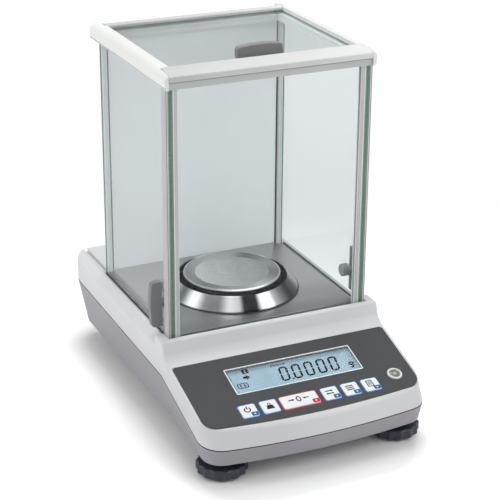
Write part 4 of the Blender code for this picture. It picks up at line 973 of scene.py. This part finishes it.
def icon_zero(shape, low, high):
    """Zero between two arrows that point at it."""
    tail, neck, head, tip = 8 * MM, 5 * MM, 4.3 * MM, 1.3 * MM
    ring, count = 2.7 * MM, 24
    outer, inner = (circle_line((0, 0), radius, count, squash)
                    for radius, squash in ((ring, 0.72), (ring - STROKE, 0.64)))
    band(shape, outer, inner, low, high)
    for side in (-1, 1):
        stroke_line(shape, (side * tail, 0), (side * neck, 0), STROKE, low, high)
        arrow(shape, (side * head, 0), (-side, 0), tip, low, high)


def icon_swap(shape, low, high):
    """Two arrows that pass each other."""
    rise, tail, neck, head, tip = 1.3 * MM, 3 * MM, 1.5 * MM, 2.2 * MM, 1.2 * MM
    for side in (-1, 1):
        level = side * rise
        stroke_line(shape, (-side * tail, level), (side * neck, level), STROKE, low, high)
        arrow(shape, (side * head, level), (side, 0), tip, low, high)


def icon_lines(shape, low, high):
    """Three lines of a list."""
    half, step = 3 * MM, 1.9 * MM
    for row in (-1, 0, 1):
        stroke_line(shape, (-half, row * step), (half, row * step), STROKE, low, high)


def icon_page(shape, low, high):
    """Page with three lines."""
    wide, tall, edge = 2.5 * MM, 3.1 * MM, 0.7 * MM
    half, line = 1.3 * MM, 0.6 * MM
    inner = box_line(edge - wide, edge - tall, wide - edge, tall - edge)
    band(shape, box_line(-wide, -tall, wide, tall), inner, low, high)
    for level in (-1 * MM, 0.2 * MM, 1.4 * MM):
        stroke_line(shape, (-half, level), (half, level), line, low, high)


KEY_PRINTS = {
    "power": (icon_power, INK_BLUE, (-1, 0)),
    "calibrate": (icon_weight, INK_BLUE, None),
    "tare": (icon_zero, INK_RED, (0, -1)),
    "unit": (icon_swap, INK_BLUE, (0, 1)),
    "menu": (icon_lines, INK_BLUE, (0, -1)),
    "print": (icon_page, INK_BLUE, (1, 0)),
}


def key_print(label, icon, colour, way):
    """A key's icon and corner tab, and the border printed on the foil round it."""
    node = "key_" + label
    dress(node, KEY_WHITE, SOFT_KEY)
    low, high = local_box(node, CONSOLE)
    centre, top = (low + high) / 2, high.z
    outer, inner = (box_line(low.x - gap, low.y - gap, high.x + gap, high.y + gap, radius)
                    for gap, radius in zip((BORDER, HOLE_GAP), BORDER_ROUND))
    border = bmesh.new()
    band(border, outer, inner, 0, INK)
    printed("border_" + label, border, colour, CONSOLE, "base")
    drawn = bmesh.new()
    icon(drawn, top, top + INK)
    bmesh.ops.scale(drawn, verts=drawn.verts, vec=(ICON_SCALE, ICON_SCALE, 1))
    shift = ICON_SHIFT if way else (0, 0)
    bmesh.ops.translate(drawn, verts=drawn.verts, vec=(centre.x + shift[0], centre.y + shift[1], 0))
    printed("icon_" + label, drawn, INK_GREY, CONSOLE, BODY[node])
    if not way:
        return
    tab = bmesh.new()
    x1, y0 = high.x - TAB_INSET, low.y + TAB_INSET
    plate(tab, box_line(x1 - TAB[0], y0, x1, y0 + TAB[1], TAB_ROUND), top, top + INK)
    printed("tab_" + label, tab, colour, CONSOLE, BODY[node])
    mark = bmesh.new()
    arrow(mark, (x1 - TAB[0] / 2, y0 + TAB[1] / 2), way, TAB_ARROW, top + INK, top + 2 * INK)
    printed("tab_arrow_" + label, mark, INK_WHITE, CONSOLE, BODY[node])


def dress_console():
    dress("console_overlay", OVERLAY, SOFT_FOIL)
    dress_display()
    for label, (icon, colour, way) in KEY_PRINTS.items():
        key_print(label, icon, colour, way)


# Spirit level

TARGET_RING = (2.8 * MM, 2.6 * MM)
BUBBLE_RADIUS = 1.9 * MM
BUBBLE_SHIFT = (0.3 * MM, 0.2 * MM)
BUBBLE_SIDES = 24


def dress_level():
    dress("level_housing", FRAME, SOFT_FOIL)
    dress("level_vial", VIAL)
    low, high = local_box("level_vial", CONSOLE)
    x, y = (low.x + high.x) / 2, (low.y + high.y) / 2
    ring = bmesh.new()
    band(ring, *(circle_line((x, y), radius) for radius in TARGET_RING), high.z, high.z + INK)
    printed("level_ring", ring, INK_BLACK, CONSOLE, "base")
    bubble = bmesh.new()
    place = x + BUBBLE_SHIFT[0], y + BUBBLE_SHIFT[1]
    plate(bubble, circle_line(place, BUBBLE_RADIUS, BUBBLE_SIDES), high.z, high.z + INK)
    printed("level_bubble", bubble, BUBBLE, CONSOLE, "base")


# Feet

def dress_feet():
    for side in ("left", "right"):
        dress("foot_wheel_" + side, FOOT, SOFT_POST)
        dress("foot_pad_" + side, RUBBER)
        dress("foot_insert_" + side, SOCKET)
        dress("rear_foot_" + side, RUBBER)


# Rear connectors

PIN_ROOT = 9 * MM
INLET_RADIUS, INLET_LENGTH = 1.0 * MM, 8 * MM
PIN_RADIUS, PIN_LENGTH = 0.6 * MM, 7.4 * MM
PIN_SIDES, JACK_SIDES = 10, 6
PIN_PITCH = 2.77 * MM
PIN_ROWS = ((5, 1.4 * MM), (4, -1.4 * MM))
JACK_RADIUS, JACK_LENGTH = 2.6 * MM, 1.6 * MM
JACK_ASIDE = 12.5 * MM
JACK_SUNK = 0.2 * MM
ROD_TAPER = 0.9


def rod(shape, place, radius, reach, count=16):
    """Rod along Y from a place towards the back, slightly tapered."""
    turn = Matrix.Rotation(-math.pi / 2, 4, "X")
    centre = Matrix.Translation(Vector(place) + Vector((0, reach / 2, 0)))
    bmesh.ops.create_cone(shape, cap_ends=True, segments=count, radius1=radius, radius2=radius * ROD_TAPER,
                          depth=reach, matrix=centre @ turn)


def dress_ports():
    for node in ("dc_inlet", "data_port"):
        dress(node, SOCKET)
    low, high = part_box("dc_inlet")
    centre = (low + high) / 2
    pin = bmesh.new()
    rod(pin, (centre.x, high.y - PIN_ROOT, centre.z), INLET_RADIUS, INLET_LENGTH)
    printed("inlet_pin", pin, ALLOY, None, "base")
    low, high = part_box("data_port")
    centre = (low + high) / 2
    pins = bmesh.new()
    for count, level in PIN_ROWS:
        for i in range(count):
            x = centre.x + (i - (count - 1) / 2) * PIN_PITCH
            rod(pins, (x, high.y - PIN_ROOT, centre.z + level), PIN_RADIUS, PIN_LENGTH, PIN_SIDES)
    printed("data_pins", pins, BRASS, None, "base")
    nuts = bmesh.new()
    for side in (-1, 1):
        place = centre.x + side * JACK_ASIDE, high.y - JACK_SUNK, centre.z
        rod(nuts, place, JACK_RADIUS, JACK_LENGTH, JACK_SIDES)
    printed("jack_nuts", nuts, ALLOY, None, "base")


def dress_inside():
    """Finishes of the closed-in parts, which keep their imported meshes."""
    inside = {BOARD: ("display_board", "main_board"), RUBBER: ("keypad_mat",), BRASS: ("coil_former",),
              ALLOY: ("cell_base_plate", "load_cell_block", "load_receptor"), STEEL_SHEET: ("magnet_pot",)}
    for material, nodes in inside.items():
        for node in nodes:
            NODES[node].data.materials.clear()
            NODES[node].data.materials.append(material)


# Camera at the photograph's viewing angle

CAMERA_AZIMUTH = math.radians(-25.13)
CAMERA_HEIGHT = math.radians(22.66)
CAMERA_ROLL = math.radians(0.41)
CAMERA_TARGET = Vector((7.67, 0, 131.61)) * MM
CAMERA_DISTANCE = 1415.82 * MM
LENS = 112.76
SENSOR = 36
CLIP_START = 0.05


def add_camera():
    turn, rise, roll = CAMERA_AZIMUTH, CAMERA_HEIGHT, CAMERA_ROLL
    back = Vector((math.sin(turn) * math.cos(rise), -math.cos(turn) * math.cos(rise), math.sin(rise)))
    right = (-back).cross(Vector((0, 0, 1))).normalized()
    up = right.cross(-back)
    across = right * math.cos(roll) + up * math.sin(roll)
    upright = up * math.cos(roll) - right * math.sin(roll)
    camera = bpy.data.objects.new("camera", bpy.data.cameras.new("camera"))
    camera.data.lens = LENS
    camera.data.sensor_width = SENSOR
    camera.data.clip_start = CLIP_START
    camera.matrix_world = (Matrix.Translation(CAMERA_TARGET + back * CAMERA_DISTANCE)
                           @ Matrix((across, upright, back)).transposed().to_4x4())
    bpy.context.scene.collection.objects.link(camera)
    bpy.context.scene.camera = camera


# Lamps: place, size and power

LAMPS = {
    "top_lamp": ((0.2, 0.42, 1.4), 1.0, 10.0),
    "front_lamp": ((0.8, -0.85, 0.9), 0.9, 6.4),
    "side_lamp": ((-1.3, 0.1, 0.75), 0.9, 7.6),
}
LAMP_AIM = Vector((0, 0, 0.12))


def add_lamps():
    for name, (place, size, power) in LAMPS.items():
        lamp = bpy.data.lights.new(name, "AREA")
        lamp.energy = power
        lamp.size = size
        item = bpy.data.objects.new(name, lamp)
        item.location = place
        item.rotation_euler = (Vector(place) - LAMP_AIM).to_track_quat("Z", "Y").to_euler()
        bpy.context.scene.collection.objects.link(item)


# Surroundings and floor: the floor's lift is painted light, a glow in pairs of distance from the shaded area and
# grey level

AMBIENT = 0.40
MIRRORED = 0.08
FLOOR_SIZE = 6.0
FLOOR_GAP = 0.1 * MM
FLOOR_CLOUDS = (3, 2)
FLOOR_TONES = ((0.92, 0.92, 0.92), (0.94, 0.94, 0.94))
FLOOR_LIFT = ((0, 0), (0.008, 0.10), (0.02, 0.29), (0.045, 0.39), (0.09, 0.28), (0.16, 0.12), (0.26, 0.03),
              (0.40, 0.06), (0.80, 0.25), (1.3, 0.47), (1.7, 0.60), (3, 0.66))
SHADE_FRONT = 28 * MM
SHADE_RIGHT = 18 * MM
SHADE_ROUND = 45 * MM


def outside(tree, half):
    """Distance in plan from a box round a piece's own origin."""
    place = own_place(tree)
    for operation, value in (("ABSOLUTE", None), ("SUBTRACT", half), ("MAXIMUM", (0, 0, 0))):
        node = add(tree, "VectorMath", operation=operation)
        tree.links.new(place, node.inputs[0])
        if value is not None:
            node.inputs[1].default_value = value
        place = node.outputs[0]
    return length(tree, place)


def seen_rays(tree):
    """1 for rays from the camera or through glass, less for mirrored ones, 0 for those that give light."""
    path = add(tree, "LightPath")
    mirror = spread(tree, path.outputs["Is Glossy Ray"], 0, MIRRORED, 0, 1)
    through = calc(tree, "MAXIMUM", path.outputs["Is Camera Ray"], path.outputs["Is Transmission Ray"])
    return calc(tree, "MAXIMUM", mirror, through)


def add_world():
    """White surroundings that light the object evenly."""
    world = bpy.data.worlds.new("studio")
    world.use_nodes = True
    tree = world.node_tree
    background = tree.nodes["Background"]
    tree.links.new(spread(tree, seen_rays(tree), AMBIENT, 1, 0, 1), background.inputs["Strength"])
    background.inputs["Color"].default_value = (1, 1, 1, 1)
    bpy.context.scene.world = world


def add_floor():
    """Pale floor that keeps the object's shadow and goes over into the white surroundings; its glow is painted
    light, none at the object and varied with distance, which sets how far the shadow reaches.
    """
    made, tree, shader = new_material("floor_pale")
    tree.links.new(tint(tree, clouds(tree, *FLOOR_CLOUDS), *FLOOR_TONES), shader.inputs["Base Color"])
    shader.inputs["Roughness"].default_value = 0.9
    shader.inputs["Specular IOR Level"].default_value = 0.1
    half = (CAD_BOX[1] - CAD_BOX[0]) / 2
    core = (half.x - SHADE_RIGHT / 2 - SHADE_ROUND, half.y + SHADE_FRONT / 2 - SHADE_ROUND, 0)
    stops = [(SHADE_ROUND + at, grey) for at, grey in FLOOR_LIFT]
    # Painted light: the floor's glow changes with distance from the shaded area round the object, which sets where
    # its shadow ends
    tree.links.new(levels(tree, outside(tree, core), stops, "LINEAR"), shader.inputs["Emission Color"])
    tree.links.new(seen_rays(tree), shader.inputs["Emission Strength"])
    shape = bmesh.new()
    bmesh.ops.create_grid(shape, x_segments=4, y_segments=4, size=FLOOR_SIZE / 2)
    floor = add_piece("floor", shape, made)
    floor.location = (CAD_BOX[0] + CAD_BOX[1] - Vector((SHADE_RIGHT, SHADE_FRONT, 0))) / 2
    floor.location.z = CAD_BOX[0].z - FLOOR_GAP


add_camera()
add_lamps()
add_world()
add_floor()
dress_base()
dress_grips()
dress_weighing()
dress_console()
dress_level()
dress_feet()
dress_ports()
dress_inside()
bpy.context.scene.view_settings.view_transform = "Standard"
